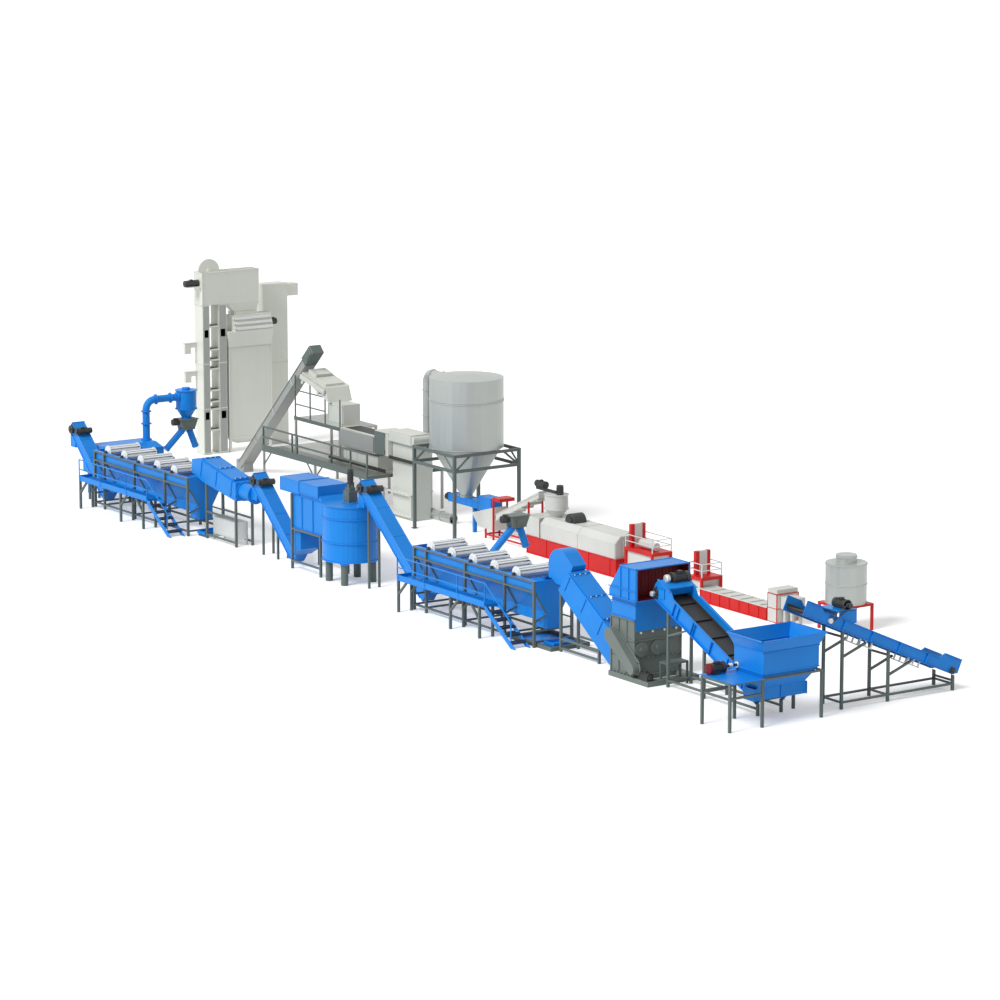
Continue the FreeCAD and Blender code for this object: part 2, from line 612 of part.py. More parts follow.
inlet_2 = faceted(washer.washer_2_end_x, 0, inlet_z, washer.inlet_radius, washer.inlet_length, 24, "X")
inlet_flange = faceted(washer.washer_2_end_x + washer.inlet_length, 0, inlet_z, washer.inlet_flange,
                       washer.inlet_flange_thick, 24, "X")
node("friction_washer_housings", join(washer_1, head_1), join(washer_2, inlet_2, inlet_flange))


def washer_1_line(x):
    """Height of the first washer's lower edge."""
    return washer.washer_1_low_z + (x - washer.washer_1_low_x) * (
        washer.washer_1_foot_z - washer.washer_1_low_z) / (washer.washer_1_foot_x - washer.washer_1_low_x)


def washer_2_line(x):
    """Height of the second washer's lower edge."""
    start = washer.washer_2_top_x + washer.washer_2_start
    return washer.washer_2_back_z + (x - start) * (washer.washer_2_low_z - washer.washer_2_back_z) / (
        washer.washer_2_end_x - start)


washer_2_leg_high = washer.washer_2_top_x + washer.washer_2_leg
washer_2_leg_low = washer.washer_2_end_x - washer.washer_2_leg_end
washer_sides = []
for y in (-washer.washer_half, washer.washer_half - shared.post):
    for high_leg, low_leg, line, rails in (
            (washer.washer_leg_high, washer.washer_leg_low, washer_1_line,
             (washer.washer_rail_high, washer.washer_rail_low)),
            (washer_2_leg_high, washer_2_leg_low, washer_2_line,
             (washer.washer_2_rail_high, washer.washer_2_rail_low))):
        washer_sides.append(posts_and_rails(
            "Y", y, shared.post, shared.post, [(x, as_size(0), line) for x in (high_leg, low_leg)],
            [(high_leg, low_leg, level) for level in rails], (), shared.rail))
node("friction_washer_frames", *washer_sides)
cover = sizes(cover_thick=40, cover_1_length=1389, cover_2_length=1500, cover_1_start=30, cover_2_start=60,
              cover_inset=10)
cover_wide = 2 * washer.washer_half - 2 * cover.cover_inset
cover_2_x = washer.washer_2_top_x + washer.washer_2_shoulder
washer_covers = []
for start, length, x, z, tilt in (
        (cover.cover_1_start, cover.cover_1_length, washer.washer_1_top_x, washer.washer_1_top_z,
         slope_of(washer.washer_1_end_z - washer.washer_1_top_z, washer_1_end_x - washer.washer_1_top_x)),
        (cover.cover_2_start, cover.cover_2_length, cover_2_x, washer.washer_2_top_z,
         slope_of(washer.washer_2_end_z - washer.washer_2_top_z, washer.washer_2_end_x - cover_2_x))):
    washer_covers.append(profile(
        "Y", [(start, 0), (length, 0), (length, cover.cover_thick), (start, cover.cover_thick)], cover_wide,
        (x, -washer.washer_half + cover.cover_inset, z), tilt))
node("friction_washer_covers", *washer_covers)

# Float-sink tanks, two alike: V-shaped tanks in lattice frames with five paddle drums each
tank = sizes(tank_1_left=-7800, tank_length=4425, tank_2_left=-21620, tank_half=486, tank_rim=1350,
             tank_straight=1143, tank_floor_half=175, tank_v_low=690, trough_low=480, cleanout_low=350,
             cleanout_length=420, drum_first=560, drum_spacing=780, drum_radius=150, drum_disc=14,
             drum_half=400, shaft_radius=22, shaft_clearance=0.06, bearing_height=64, paddle_thick=8,
             drum_core=60, paddle_reach=142, post_1=475, post_2=1925, post_3=3360, tank_low_rail=130,
             cradle_deep=42, brace_in=640, brace_out=540, brace_deep=36, pan_gap=15, pan_length=350,
             pan_half=250, pan_low=60, pan_top=130, end_plate_reach=460, end_plate_low=1040,
             end_plate_half=240)
shell_half = tank.tank_half - shared.post
tank_lefts = {1: tank.tank_1_left, 2: tank.tank_2_left}
tank_walls = []
tank_ends = []
cleanouts = []
tank_sides = []
bearings = []


def tank_shell(left, side):
    """The straight and the slanted plate of one long wall."""
    inner_length = tank.tank_length - 2 * shared.wall
    upper_y = -shell_half if side < 0 else shell_half - shared.wall
    straight = box(left + shared.wall, upper_y, tank.tank_straight, inner_length, shared.wall,
                   tank.tank_rim - tank.tank_straight)
    seam = tank.tank_straight - shared.joint_gap
    slanted = profile("X", [
        (side * shell_half, seam), (side * tank.tank_floor_half, tank.tank_v_low),
        (side * (tank.tank_floor_half - shared.wall), tank.tank_v_low),
        (side * (shell_half - shared.wall), seam)], inner_length, (left + shared.wall, 0, 0))
    return straight, slanted


def tank_cradle(x, side):
    """The bar under a slanted wall at a post, and the brace below it, each with upright ends."""
    outer = side * (shell_half - shared.joint_gap)
    inner = side * (tank.tank_floor_half + shared.joint_gap)
    under = 4 * shared.joint_gap
    bar = [(outer, tank.tank_straight - under), (inner, tank.tank_v_low - under),
           (inner, tank.tank_v_low - under - tank.cradle_deep),
           (outer, tank.tank_straight - under - tank.cradle_deep)]
    brace = [(outer, tank.brace_out), (inner, tank.brace_in), (inner, tank.brace_in - tank.brace_deep),
             (outer, tank.brace_out - tank.brace_deep)]
    return [profile("X", outline, shared.rail, (x - shared.rail / 2, 0, 0)) for outline in (bar, brace)]


def paddle_drum(x, z):
    """Discs, core and three through blades on a shaft that ends flush with its bearings."""
    stub = tank.tank_half - tank.drum_half
    pieces = [cylinder(x, -tank.tank_half, z, tank.shaft_radius, stub, "Y"),
              cylinder(x, tank.drum_half, z, tank.shaft_radius, stub, "Y"),
              faceted(x, -tank.drum_half, z, tank.drum_core, 2 * tank.drum_half, 12, "Y"),
              faceted(x, -tank.drum_half, z, tank.drum_radius, tank.drum_disc, 24, "Y"),
              faceted(x, tank.drum_half - tank.drum_disc, z, tank.drum_radius, tank.drum_disc, 24, "Y")]
    blade = [(-tank.paddle_reach, -tank.paddle_thick / 2), (tank.paddle_reach, -tank.paddle_thick / 2),
             (tank.paddle_reach, tank.paddle_thick / 2), (-tank.paddle_reach, tank.paddle_thick / 2)]
    for turn in (0, 60, 120):
        pieces.append(profile("Y", blade, 2 * tank.drum_half, (x, -tank.drum_half, z), turn))
    return join(*pieces)


for tank_number, left in tank_lefts.items():
    right = left + tank.tank_length
    end_posts = (left + shared.post / 2, right - shared.post / 2)
    middle_posts = (left + tank.post_1, left + tank.post_2, left + tank.post_3)
    for side in (-1, 1):
        tank_walls.extend(tank_shell(left, side))
        frame_y = -tank.tank_half if side < 0 else tank.tank_half - shared.post
        tank_sides.append(posts_and_rails(
            "Y", frame_y, shared.post, shared.post,
            [(x, as_size(0), tank.tank_rim) for x in (end_posts[0], *middle_posts, end_posts[1])],
            [(left, right, level) for level in (tank.tank_rim, tank.tank_straight, tank.tank_low_rail)],
            (), shared.rail))
        for x in (*end_posts, *middle_posts):
            cross_ties.extend(tank_cradle(x, side))
    for x in (left, right - shared.wall):
        tank_ends.append(profile("X", [
            (-shell_half, tank.tank_rim), (-shell_half, tank.tank_straight),
            (-tank.tank_floor_half, tank.tank_v_low), (tank.tank_floor_half, tank.tank_v_low),
            (shell_half, tank.tank_straight), (shell_half, tank.tank_rim)], shared.wall, (x, 0, 0)))
    for x in (left, right - tank.cleanout_length):
        cleanouts.append(box(x, -tank.tank_floor_half, tank.cleanout_low, tank.cleanout_length,
                             2 * tank.tank_floor_half, tank.tank_v_low - tank.cleanout_low))
    cleanouts.append(box(left + tank.cleanout_length + shared.joint_gap, -tank.tank_floor_half,
                         tank.trough_low, tank.tank_length - 2 * tank.cleanout_length - 2 * shared.joint_gap,
                         2 * tank.tank_floor_half, tank.tank_v_low - tank.trough_low))
    pan_left = right + tank.pan_gap
    pan_right = pan_left + tank.pan_length
    cleanouts.append(cut(
        between((pan_left, -tank.pan_half, tank.pan_low), (pan_right, tank.pan_half, tank.pan_top)),
        between((pan_left + shared.wall, -tank.pan_half + shared.wall, tank.pan_low + shared.wall),
                (pan_right - shared.wall, tank.pan_half - shared.wall, tank.pan_top))))
    for y in (-tank.pan_half + shared.rail, tank.pan_half - shared.rail - shared.post):
        tie(pan_left, y, 0, pan_right, y + shared.post, tank.pan_low)
    for spots, level in ((middle_posts, tank.trough_low), (end_posts, tank.cleanout_low)):
        for x in spots:
            for height in (tank.tank_low_rail, level):
                tie(x - shared.rail / 2, -shell_half, height - shared.rail, x + shared.rail / 2, shell_half,
                    height)
    drum_z = tank.tank_rim + tank.bearing_height / 2
    for drum_number in range(5):
        x = left + tank.drum_first + drum_number * tank.drum_spacing
        for y in (-tank.tank_half, tank.tank_half - shared.post):
            block = box(x - tank.bearing_height / 2, y, tank.tank_rim, tank.bearing_height, shared.post,
                        tank.bearing_height)
            bearings.append(cut(block, cylinder(x, y, drum_z, tank.shaft_radius + tank.shaft_clearance,
                                                shared.post, "Y")))
        node(f"paddle_drum_{tank_number}_{drum_number + 1}", paddle_drum(x, drum_z))
node("float_tank_walls", *tank_walls)
node("float_tank_ends", *tank_ends)
node("float_tank_cleanouts", *cleanouts)
node("float_tank_frames", *tank_sides)
node("drum_bearings", *bearings)

# Walkways beside the tanks, hung on their frames, each with a handrail and a stair down to the floor
walk = sizes(walk_start=40, walk_end=3300, walk_near=-910, walk_width=370, walk_top=738, walk_thick=60,
             walk_leg_1=70, walk_leg_2=2020, walk_leg_3=3080, rail_top=1184, rail_middle=960, rail_tube=20,
             rail_post_2=1046, rail_post_3=2288, knee_reach=300, knee_drop=14, stair_run=1080,
             stair_plate=130, stair_toe=150, tread_depth=150, tread_thick=14, tread_back=20,
             stair_rail_back=160, stair_rail_top=538, stair_rail_foot=140, walk_bracket=40)
walk_far = walk.walk_near + walk.walk_width
walk_under = walk.walk_top - walk.walk_thick
tread_count = 5
decks = []
walk_legs = []
walk_rails = []
stairs = []
for left in tank_lefts.values():
    start = left + walk.walk_start
    end = left + walk.walk_end
    foot = end + walk.stair_run
    decks.append(box(start, walk.walk_near, walk_under, end - start, walk.walk_width, walk.walk_thick))
    for y in (walk.walk_near, walk_far - shared.post):
        for offset, ways in ((walk.walk_leg_1, (1,)), (walk.walk_leg_2, (1,)), (walk.walk_leg_3, (-1,))):
            x = left + offset
            knees = [((x, walk_under - walk.knee_reach), (x + way * walk.knee_reach, walk_under - walk.knee_drop))
                     for way in ways]
            walk_legs.append(posts_and_rails("Y", y, shared.post, shared.post, [(x, as_size(0), walk_under)],
                                             [], knees, shared.rail))
    for offset in (tank.post_1, tank.post_2):
        x = left + offset
        walk_legs.append(between(
            (x - shared.rail / 2, walk_far + shared.joint_gap, walk.walk_top - walk.walk_bracket),
            (x + shared.rail / 2, -tank.tank_half - shared.joint_gap, walk.walk_top)))
    rail_posts = [(x, walk.walk_top, walk.rail_top) for x in
                  (start + walk.rail_tube / 2, left + walk.rail_post_2, left + walk.rail_post_3,
                   end - walk.rail_tube / 2)]
    rail_foot = foot - walk.stair_rail_back
    walk_rails.append(posts_and_rails(
        "Y", walk.walk_near, walk.rail_tube, walk.rail_tube, rail_posts,
        [(start, end, walk.rail_top), (start, end, walk.rail_middle)],
        [((end - walk.rail_tube / 2, walk.rail_top - walk.rail_tube / 2), (rail_foot, walk.stair_rail_top)),
         ((rail_foot, walk.stair_rail_top), (rail_foot, walk.stair_rail_foot))], walk.rail_tube))
    stair_start = end + shared.joint_gap
    for y in (walk.walk_near, walk_far - shared.wall):
        stairs.append(profile("Y", [
            (stair_start, walk.walk_top), (stair_start, walk.walk_top - walk.stair_plate),
            (foot - walk.stair_toe, 0), (foot, 0), (foot, walk.tread_back)], shared.wall, (0, y, 0)))
    for step in range(1, tread_count + 1):
        level = walk.walk_top * (tread_count + 1 - step) / (tread_count + 1)
        x = end + walk.stair_run * step / (tread_count + 1) - walk.tread_depth / 2 - walk.tread_back
        stairs.append(box(x, walk.walk_near + shared.wall + shared.joint_gap, level - walk.tread_thick,
                          walk.tread_depth, walk.walk_width - 2 * shared.wall - 2 * shared.joint_gap,
                          walk.tread_thick))
node("walkway_decks", *decks)
node("walkway_legs", *walk_legs)
node("walkway_rails", *walk_rails)
node("walkway_stairs", *stairs)

# Screw conveyors: square closed troughs that rise to the left, each with a drive at its head
screw = sizes(screw_half=150, screw_height=250, screw_a_foot_x=-13180, screw_a_foot_z=40, screw_a_head_x=-14950,
              screw_a_head_z=1600, screw_a_outlet=1180, screw_a_leg_1=-13816, screw_a_leg_2=-14440,
              screw_b_foot_x=-7960, screw_b_foot_z=90, screw_b_head_x=-10480, screw_b_head_z=2110,
              screw_b_outlet=1720, screw_b_leg=-10060, screw_c_foot_x=-21790, screw_c_foot_z=90,
              screw_c_head_x=-23420, screw_c_head_z=1560, screw_c_outlet=1150, screw_c_leg=-22500,
              screw_leg=44, outlet_start=10, outlet_length=230, outlet_inset=20, outlet_rise=60,
              guard_disc_radius=125, guard_disc_thick=30, guard_disc_inset=110, guard_disc_height=190,
              head_motor_radius=70, head_motor_long=190, head_motor_back=330)
screws = []
screw_legs = []
screw_motors = []
for foot_x, foot_z, head_x, head_z, outlet_low, leg_spots in (
        (screw.screw_a_foot_x, screw.screw_a_foot_z, screw.screw_a_head_x, screw.screw_a_head_z,
         screw.screw_a_outlet, (screw.screw_a_leg_1, screw.screw_a_leg_2)),
        (screw.screw_b_foot_x, screw.screw_b_foot_z, screw.screw_b_head_x, screw.screw_b_head_z,
         screw.screw_b_outlet, (screw.screw_b_leg,)),
        (screw.screw_c_foot_x, screw.screw_c_foot_z, screw.screw_c_head_x, screw.screw_c_head_z,
         screw.screw_c_outlet, (screw.screw_c_leg,))):
    run = foot_x - head_x
    rise = head_z - foot_z
    tilt = slope_of(rise, run)
    reach = long_side(rise, run)
    trough = profile("Y", [(0, 0), (-reach, 0), (-reach, screw.screw_height), (0, screw.screw_height)],
                     2 * screw.screw_half, (foot_x, -screw.screw_half, foot_z), -tilt)
    outlet = between((head_x + screw.outlet_start, -screw.screw_half + screw.outlet_inset, outlet_low),
                     (head_x + screw.outlet_start + screw.outlet_length, screw.screw_half - screw.outlet_inset,
                      head_z + screw.outlet_rise))
    screws.append(join(trough, outlet))
    # The drive sits on the upper face: its motor lies across the trough, on a plate against the slope.
    motor_x = head_x + rise * screw.screw_height / reach + run * screw.head_motor_back / reach
    motor_z = head_z + run * screw.screw_height / reach - rise * screw.head_motor_back / reach
    lift_x = rise * screw.head_motor_radius / reach
    lift_z = run * screw.head_motor_radius / reach
    screw_motors.append(faceted(motor_x + lift_x, -screw.head_motor_long, motor_z + lift_z,
                                screw.head_motor_radius, 2 * screw.head_motor_long, 16, "Y"))

    def screw_line(x):
        """Height of this trough's lower face."""
        return head_z - (x - head_x) * rise / run

    for spot in leg_spots:
        for y in (-screw.screw_half, screw.screw_half - screw.screw_leg):
            screw_legs.append(posts_and_rails("Y", y, screw.screw_leg, screw.screw_leg,
                                              [(spot, as_size(0), screw_line)], []))
node("screw_conveyor_troughs", *screws)
node("screw_conveyor_legs", *screw_legs)

# Hot washer: an agitated round vessel on four feet, and the settling box beside it
vessel = sizes(vessel_x=-10940, vessel_y=-33, vessel_radius=611, vessel_low=500, vessel_top=1720,
               vessel_foot_radius=80, vessel_foot_x=312, vessel_foot_y=357, settle_left=-12870,
               settle_near=-345, settle_far=300, settle_low=915, settle_top=1660, settle_flare=120,
               hood_left=-13300, hood_split=-12500, hood_slit=10, hood_right=-11720, hood_height=1985,
               hood_step=10, hood_near=-360, hood_far=390, hood_seat=20, hood_seat_right=60, hood_out=15,
               outlet_low=560, outlet_long=270, outlet_edge=60, funnel_deep=120, funnel_mouth=150,
               settle_leg_left=60, settle_leg_right=30, settle_rail=200, stand_half=85, stand_high=228,
               gear_half=60, gear_high=196, agitator_radius=62, agitator_high=312)
vessel_sides = 36
settle_right = vessel.vessel_x - vessel.vessel_radius - shared.joint_gap
node("hot_washer_shell", faceted_tube(
    vessel.vessel_x, vessel.vessel_y, vessel.vessel_low + shared.wall, vessel.vessel_radius, shared.wall,
    vessel.vessel_top - vessel.vessel_low - 2 * shared.wall, vessel_sides))
node("hot_washer_ends",
     *[faceted(vessel.vessel_x, vessel.vessel_y, z, vessel.vessel_radius, shared.wall, vessel_sides)
       for z in (vessel.vessel_low, vessel.vessel_top - shared.wall)])
vessel_feet = [faceted(vessel.vessel_x + a * vessel.vessel_foot_x, vessel.vessel_y + b * vessel.vessel_foot_y, 0,
                       vessel.vessel_foot_radius, vessel.vessel_low, 12) for a in (-1, 1) for b in (-1, 1)]
settle_leg_1 = vessel.settle_left + vessel.settle_leg_left
settle_leg_2 = settle_right - vessel.settle_leg_right - shared.post
settle_sides = []
for y in (vessel.settle_near - shared.post, vessel.settle_far):
    settle_sides.append(posts_and_rails(
        "Y", y, shared.post, shared.post,
        [(settle_leg_1, as_size(0), vessel.settle_top), (settle_leg_2, as_size(0), vessel.settle_low)],
        [(settle_leg_1, settle_leg_2, vessel.settle_low), (settle_leg_1, settle_leg_2, vessel.settle_rail)],
        (), shared.rail))
node("hot_washer_frames", *vessel_feet, *settle_sides)
outlet_right = vessel.settle_left + vessel.outlet_long
foot_run = screw.screw_a_foot_x - screw.screw_a_head_x
foot_rise = screw.screw_a_head_z - screw.screw_a_foot_z
foot_reach = long_side(foot_rise, foot_run)
screw_corner_x = screw.screw_a_foot_x + foot_rise * screw.screw_height / foot_reach + shared.joint_gap
screw_corner_z = screw.screw_a_foot_z + foot_run * screw.screw_height / foot_reach
outlet_near = vessel.settle_near + vessel.outlet_edge
outlet_wide = vessel.settle_far - vessel.settle_near - 2 * vessel.outlet_edge
node("settling_box", join(
    between((vessel.settle_left, vessel.settle_near, vessel.settle_low),
            (settle_right, vessel.settle_far, vessel.settle_top)),
    frustum(vessel.settle_top, vessel.settle_top + vessel.settle_flare,
            (vessel.settle_left, vessel.settle_near, settle_right, vessel.settle_far),
            (vessel.settle_left - vessel.settle_flare, vessel.hood_near, vessel.hood_right, vessel.settle_far)),
    between((vessel.hood_left, vessel.hood_near, vessel.settle_top + vessel.hood_seat),
            (vessel.hood_split, vessel.hood_far, vessel.hood_height - vessel.hood_step)),
    between((vessel.hood_split + vessel.hood_slit, vessel.hood_near - vessel.hood_out,
             vessel.settle_top + vessel.hood_seat_right),
            (vessel.hood_right, vessel.hood_far, vessel.hood_height)),
    box(vessel.settle_left, outlet_near, vessel.outlet_low, vessel.outlet_long, outlet_wide,
        vessel.settle_low - vessel.outlet_low),
    profile("Y", [(vessel.settle_left, vessel.outlet_low), (outlet_right, vessel.outlet_low),
                  (outlet_right, vessel.outlet_low - vessel.funnel_deep), (screw_corner_x, screw_corner_z),
                  (screw_corner_x, screw_corner_z + vessel.funnel_mouth)], outlet_wide, (0, outlet_near, 0))))
agitator_drive = join(
    between((vessel.vessel_x - vessel.stand_half, vessel.vessel_y - vessel.stand_half, vessel.vessel_top),
            (vessel.vessel_x + vessel.stand_half, vessel.vessel_y + vessel.stand_half,
             vessel.vessel_top + vessel.stand_high)),
    box(vessel.vessel_x - vessel.gear_half, vessel.vessel_y - vessel.gear_half,
        vessel.vessel_top + vessel.stand_high, 2 * vessel.gear_half, 2 * vessel.gear_half, vessel.gear_high),
    faceted(vessel.vessel_x, vessel.vessel_y, vessel.vessel_top + vessel.stand_high + vessel.gear_high,
            vessel.agitator_radius, vessel.agitator_high, 16))

# Dewatering press and blower, the bent pipe, the cyclone and the two bagging chutes
dry = sizes(press_left=-23380, press_right=-22330, press_near=180, press_far=1800, press_low=517,
            press_edge=1110, press_crown=1216, crown_side=240, crown_near=110, crown_far=60, press_leg=60,
            press_leg_inset=100, press_leg_edge=60, pipe_radius=90, pipe_y=1640, pipe_top=2180,
            pipe_bend=240, cyclone_y=2754, cyclone_radius=250, cyclone_top=2331, cyclone_low=1883,
            cone_low=1640, cone_radius=95, chute_head_low=1330, chute_head_top=1590, chute_drop=500,
            chute_left_reach=530, chute_right_reach=195, chute_radius=75, chute_start=50, chute_bite=40,
            chute_foot_half=130, chute_foot_side=160, chute_top_half=170, chute_top_side=235, chute_1_x=-8400,
            chute_1_y=2554, chute_1_drop=1290, chute_foot_high=110, chute_motor_long=160, chute_motor_z=1520)
press_x = (dry.press_left + dry.press_right) / 2
leg_low = dry.press_left + dry.press_leg_inset
leg_high = dry.press_right - dry.press_leg_inset - dry.press_leg
press_legs = [box(x, y, 0, dry.press_leg, dry.press_leg, dry.press_low) for x in (leg_low, leg_high)
              for y in (dry.press_near + dry.press_leg_edge, dry.press_far - dry.press_leg_edge - dry.press_leg)]
node("dewatering_press", join(
    between((dry.press_left, dry.press_near, dry.press_low), (dry.press_right, dry.press_far, dry.press_edge)),
    frustum(dry.press_edge, dry.press_crown,
            (dry.press_left, dry.press_near, dry.press_right, dry.press_far),
            (dry.press_left + dry.crown_side, dry.press_near + dry.crown_near,
             dry.press_right - dry.crown_side, dry.press_far - dry.crown_far)), *press_legs))
bend_y = dry.pipe_y + dry.pipe_bend
node("cyclone", join(
    faceted(press_x, dry.pipe_y, dry.press_crown, dry.pipe_radius,
            dry.pipe_top - dry.pipe_bend - dry.press_crown, 12),
    elbow(press_x, dry.pipe_y, dry.pipe_top - dry.pipe_bend, dry.pipe_radius, dry.pipe_bend, 12,
          (-1, 0, 0), (0, 1)),
    faceted(press_x, bend_y, dry.pipe_top, dry.pipe_radius, dry.cyclone_y - bend_y, 12, "Y"),
    faceted_cone(press_x, dry.cyclone_y, dry.cone_low, dry.cone_radius, dry.cyclone_radius,
                 dry.cyclone_low - dry.cone_low, 24),
    faceted(press_x, dry.cyclone_y, dry.cyclone_low, dry.cyclone_radius, dry.cyclone_top - dry.cyclone_low, 24)))


def chute_leg(x, y, head_low, side, reach, drop):
    """One slanting bagging pipe below a chute head, as long as its drop asks."""
    run = reach * drop / dry.chute_drop
    leg = doc.addObject("Part::Prism", "Chute")
    leg.Polygon = 12
    bind(leg, "Circumradius", dry.chute_radius)
    bind(leg, "Height", long_side(drop, run))
    return place(leg, x, y + side * (dry.chute_start + run), head_low + dry.chute_bite - drop, (side, 0, 0),
                 slope_of(run, drop))


def chute_pair(x, y, head_low, head_top, left_drop):
    """A diverter box with two slanting bagging pipes below it, spread along Y."""
    head = frustum(head_low, head_top,
                   (x - dry.chute_foot_half, y - dry.chute_foot_side, x + dry.chute_foot_half,
                    y + dry.chute_foot_side),
                   (x - dry.chute_top_half, y - dry.chute_top_side, x + dry.chute_top_half,
                    y + dry.chute_top_side))
    return join(head, chute_leg(x, y, head_low, -1, dry.chute_left_reach, left_drop),
                chute_leg(x, y, head_low, 1, dry.chute_right_reach, dry.chute_drop))


chute_2_top = dry.cone_low - shared.joint_gap
chute_2_low = chute_2_top - (dry.chute_head_top - dry.chute_head_low)
chute_foot_y = dry.chute_1_y - dry.chute_start - dry.chute_left_reach * dry.chute_1_drop / dry.chute_drop
node("bagging_chutes",
     chute_pair(press_x, dry.cyclone_y, chute_2_low, chute_2_top, dry.chute_drop),
     join(chute_pair(dry.chute_1_x, dry.chute_1_y, dry.chute_head_low, dry.chute_head_top, dry.chute_1_drop),
          box(dry.chute_1_x - dry.chute_radius, chute_foot_y - dry.chute_radius, 0, 2 * dry.chute_radius,
              2 * dry.chute_radius, dry.chute_foot_high)))
chute_motors = [faceted(x, y - dry.chute_top_side - dry.chute_motor_long, z, dry.chute_radius,
                        dry.chute_motor_long, 16, "Y")
                for x, y, z in ((press_x, dry.cyclone_y, chute_2_top - dry.chute_radius),
                                (dry.chute_1_x, dry.chute_1_y, dry.chute_head_top - dry.chute_radius))]

# Air classifier: a twin-column elevator, its head, the roller unit and the storage bin below it
tower = sizes(tower_left=-26520, tower_right=-26116, col_1_near=5132, col_1_far=5332, col_2_near=5601,
              col_2_far=5823, tower_head_near=5120, tower_head_far=6785, tower_head_low=3830,
              tower_head_top=4655, disc_y=5457, disc_radius=306, disc_thick=40, disc_back=140, tie_1=600,
              tie_2=1140, tie_3=1330, tie_4=1620, tie_5=2170, tie_6=2400, tie_7=2660, tie_8=3250,
              tower_tie=40, bracket_out=345, bracket_thick=100, bracket_bar=120, bracket_drop=140,
              bracket_foot=170, bracket_1_top=2850, bracket_2_top=2120, neck_near=5881, neck_far=6785,
              neck_low_near=6093, neck_low_far=6743, neck_low=3585, throat_inset=60, roller_near=6000,
              roller_far=7120, roller_top=3505, roller_low=3110, roller_back=-26420, roller_front=-25960,
              roller_front_top=-26100, bin_near=5890, bin_far=7130, bin_low=365, bin_top=2672,
              bin_left=-26616, bin_chute_near=5824, bin_chute_front=-25966, bin_hopper_inset=150,
              bin_hopper_low=190, bin_leg=60, column_left=-26900, column_right=-26500, column_far=7864,
              column_top=4170, column_box_far=8208, column_box_low=3820, column_box_inset=40,
              tower_motor_x=-26300, tower_motor_z=4390, tower_motor_long=400, roller_motor_long=180,
              roller_motor_z=3270, roller_motor_x=-26150)
ladder = (tower.tie_1, tower.tie_2, tower.tie_3, tower.tie_4, tower.tie_5, tower.tie_6, tower.tie_7, tower.tie_8)
brackets = []
for top in (tower.bracket_1_top, tower.bracket_2_top):
    bracket_y = tower.col_1_near - tower.bracket_out
    brackets.append(box(tower.tower_left, bracket_y, top - tower.bracket_bar, tower.bracket_thick,
                        tower.bracket_out, tower.bracket_bar))
    brackets.append(box(tower.tower_left, bracket_y, top - tower.bracket_bar - tower.bracket_drop,
                        tower.bracket_thick, tower.bracket_foot, tower.bracket_drop))
node("elevator_tower", join(
    between((tower.tower_left, tower.col_1_near, 0), (tower.tower_right, tower.col_1_far, tower.tower_head_low)),
    between((tower.tower_left, tower.col_2_near, 0), (tower.tower_right, tower.col_2_far, tower.tower_head_low)),
    between((tower.tower_left, tower.tower_head_near, tower.tower_head_low),
            (tower.tower_right, tower.tower_head_far, tower.tower_head_top)),
    faceted(tower.tower_left + tower.disc_back, tower.disc_y, tower.tower_head_top, tower.disc_radius,
            tower.disc_thick, 32, "X"),
    frustum(tower.neck_low, tower.tower_head_low,
            (tower.tower_left + 2 * tower.throat_inset, tower.neck_low_near, tower.tower_right - tower.throat_inset,
             tower.neck_low_far),
            (tower.tower_left + tower.throat_inset, tower.neck_near, tower.tower_right, tower.neck_far)),
    *brackets,
    *[between((tower.tower_left, tower.col_1_far, level),
              (tower.tower_right, tower.col_2_near, level + tower.tower_tie)) for level in ladder]))
roller_unit = profile(
    "Y", [(tower.roller_back, tower.roller_low), (tower.roller_front, tower.roller_low),
          (tower.roller_front_top, tower.roller_top), (tower.roller_back, tower.roller_top)],
    tower.roller_far - tower.roller_near, (0, tower.roller_near, 0))
bin_legs = [box(x, y, 0, tower.bin_leg, tower.bin_leg, tower.bin_low)
            for x in (tower.bin_left, tower.tower_right - tower.bin_leg)
            for y in (tower.bin_near, tower.bin_far - tower.bin_leg)]
node("storage_bin", join(
    between((tower.bin_left, tower.bin_near, tower.bin_low), (tower.tower_right, tower.bin_far, tower.bin_top)),
    frustum(tower.bin_hopper_low, tower.bin_low,
            (tower.bin_left + tower.bin_hopper_inset, tower.bin_near + 2 * tower.bin_hopper_inset,
             tower.tower_right - tower.bin_hopper_inset, tower.bin_far - 2 * tower.bin_hopper_inset),
            (tower.bin_left, tower.bin_near, tower.tower_right, tower.bin_far)),
    frustum(tower.bin_top, tower.roller_low,
            (tower.bin_left, tower.bin_near, tower.tower_right, tower.bin_far),
            (tower.bin_left, tower.bin_chute_near, tower.bin_chute_front, tower.bin_far)),
    roller_unit,
    between((tower.bin_left + 2 * tower.throat_inset, tower.neck_low_near, tower.roller_top),
            (tower.roller_front_top - tower.throat_inset, tower.neck_low_far, tower.neck_low - shared.joint_gap)),
    *bin_legs,
    between((tower.column_left, tower.bin_far, 0), (tower.column_right, tower.column_far, tower.column_top)),
    between((tower.column_left + tower.column_box_inset, tower.column_far, tower.column_box_low),
            (tower.column_right - tower.column_box_inset, tower.column_box_far,
             tower.column_top - tower.column_box_inset))))
tower_motors = [
    faceted(tower.tower_motor_x, tower.tower_head_near - tower.tower_motor_long, tower.tower_motor_z,
            shared.motor_radius, tower.tower_motor_long, 16, "Y"),
    faceted(tower.roller_motor_x, tower.roller_far, tower.roller_motor_z, shared.motor_radius,
            tower.roller_motor_long, 16, "Y")]

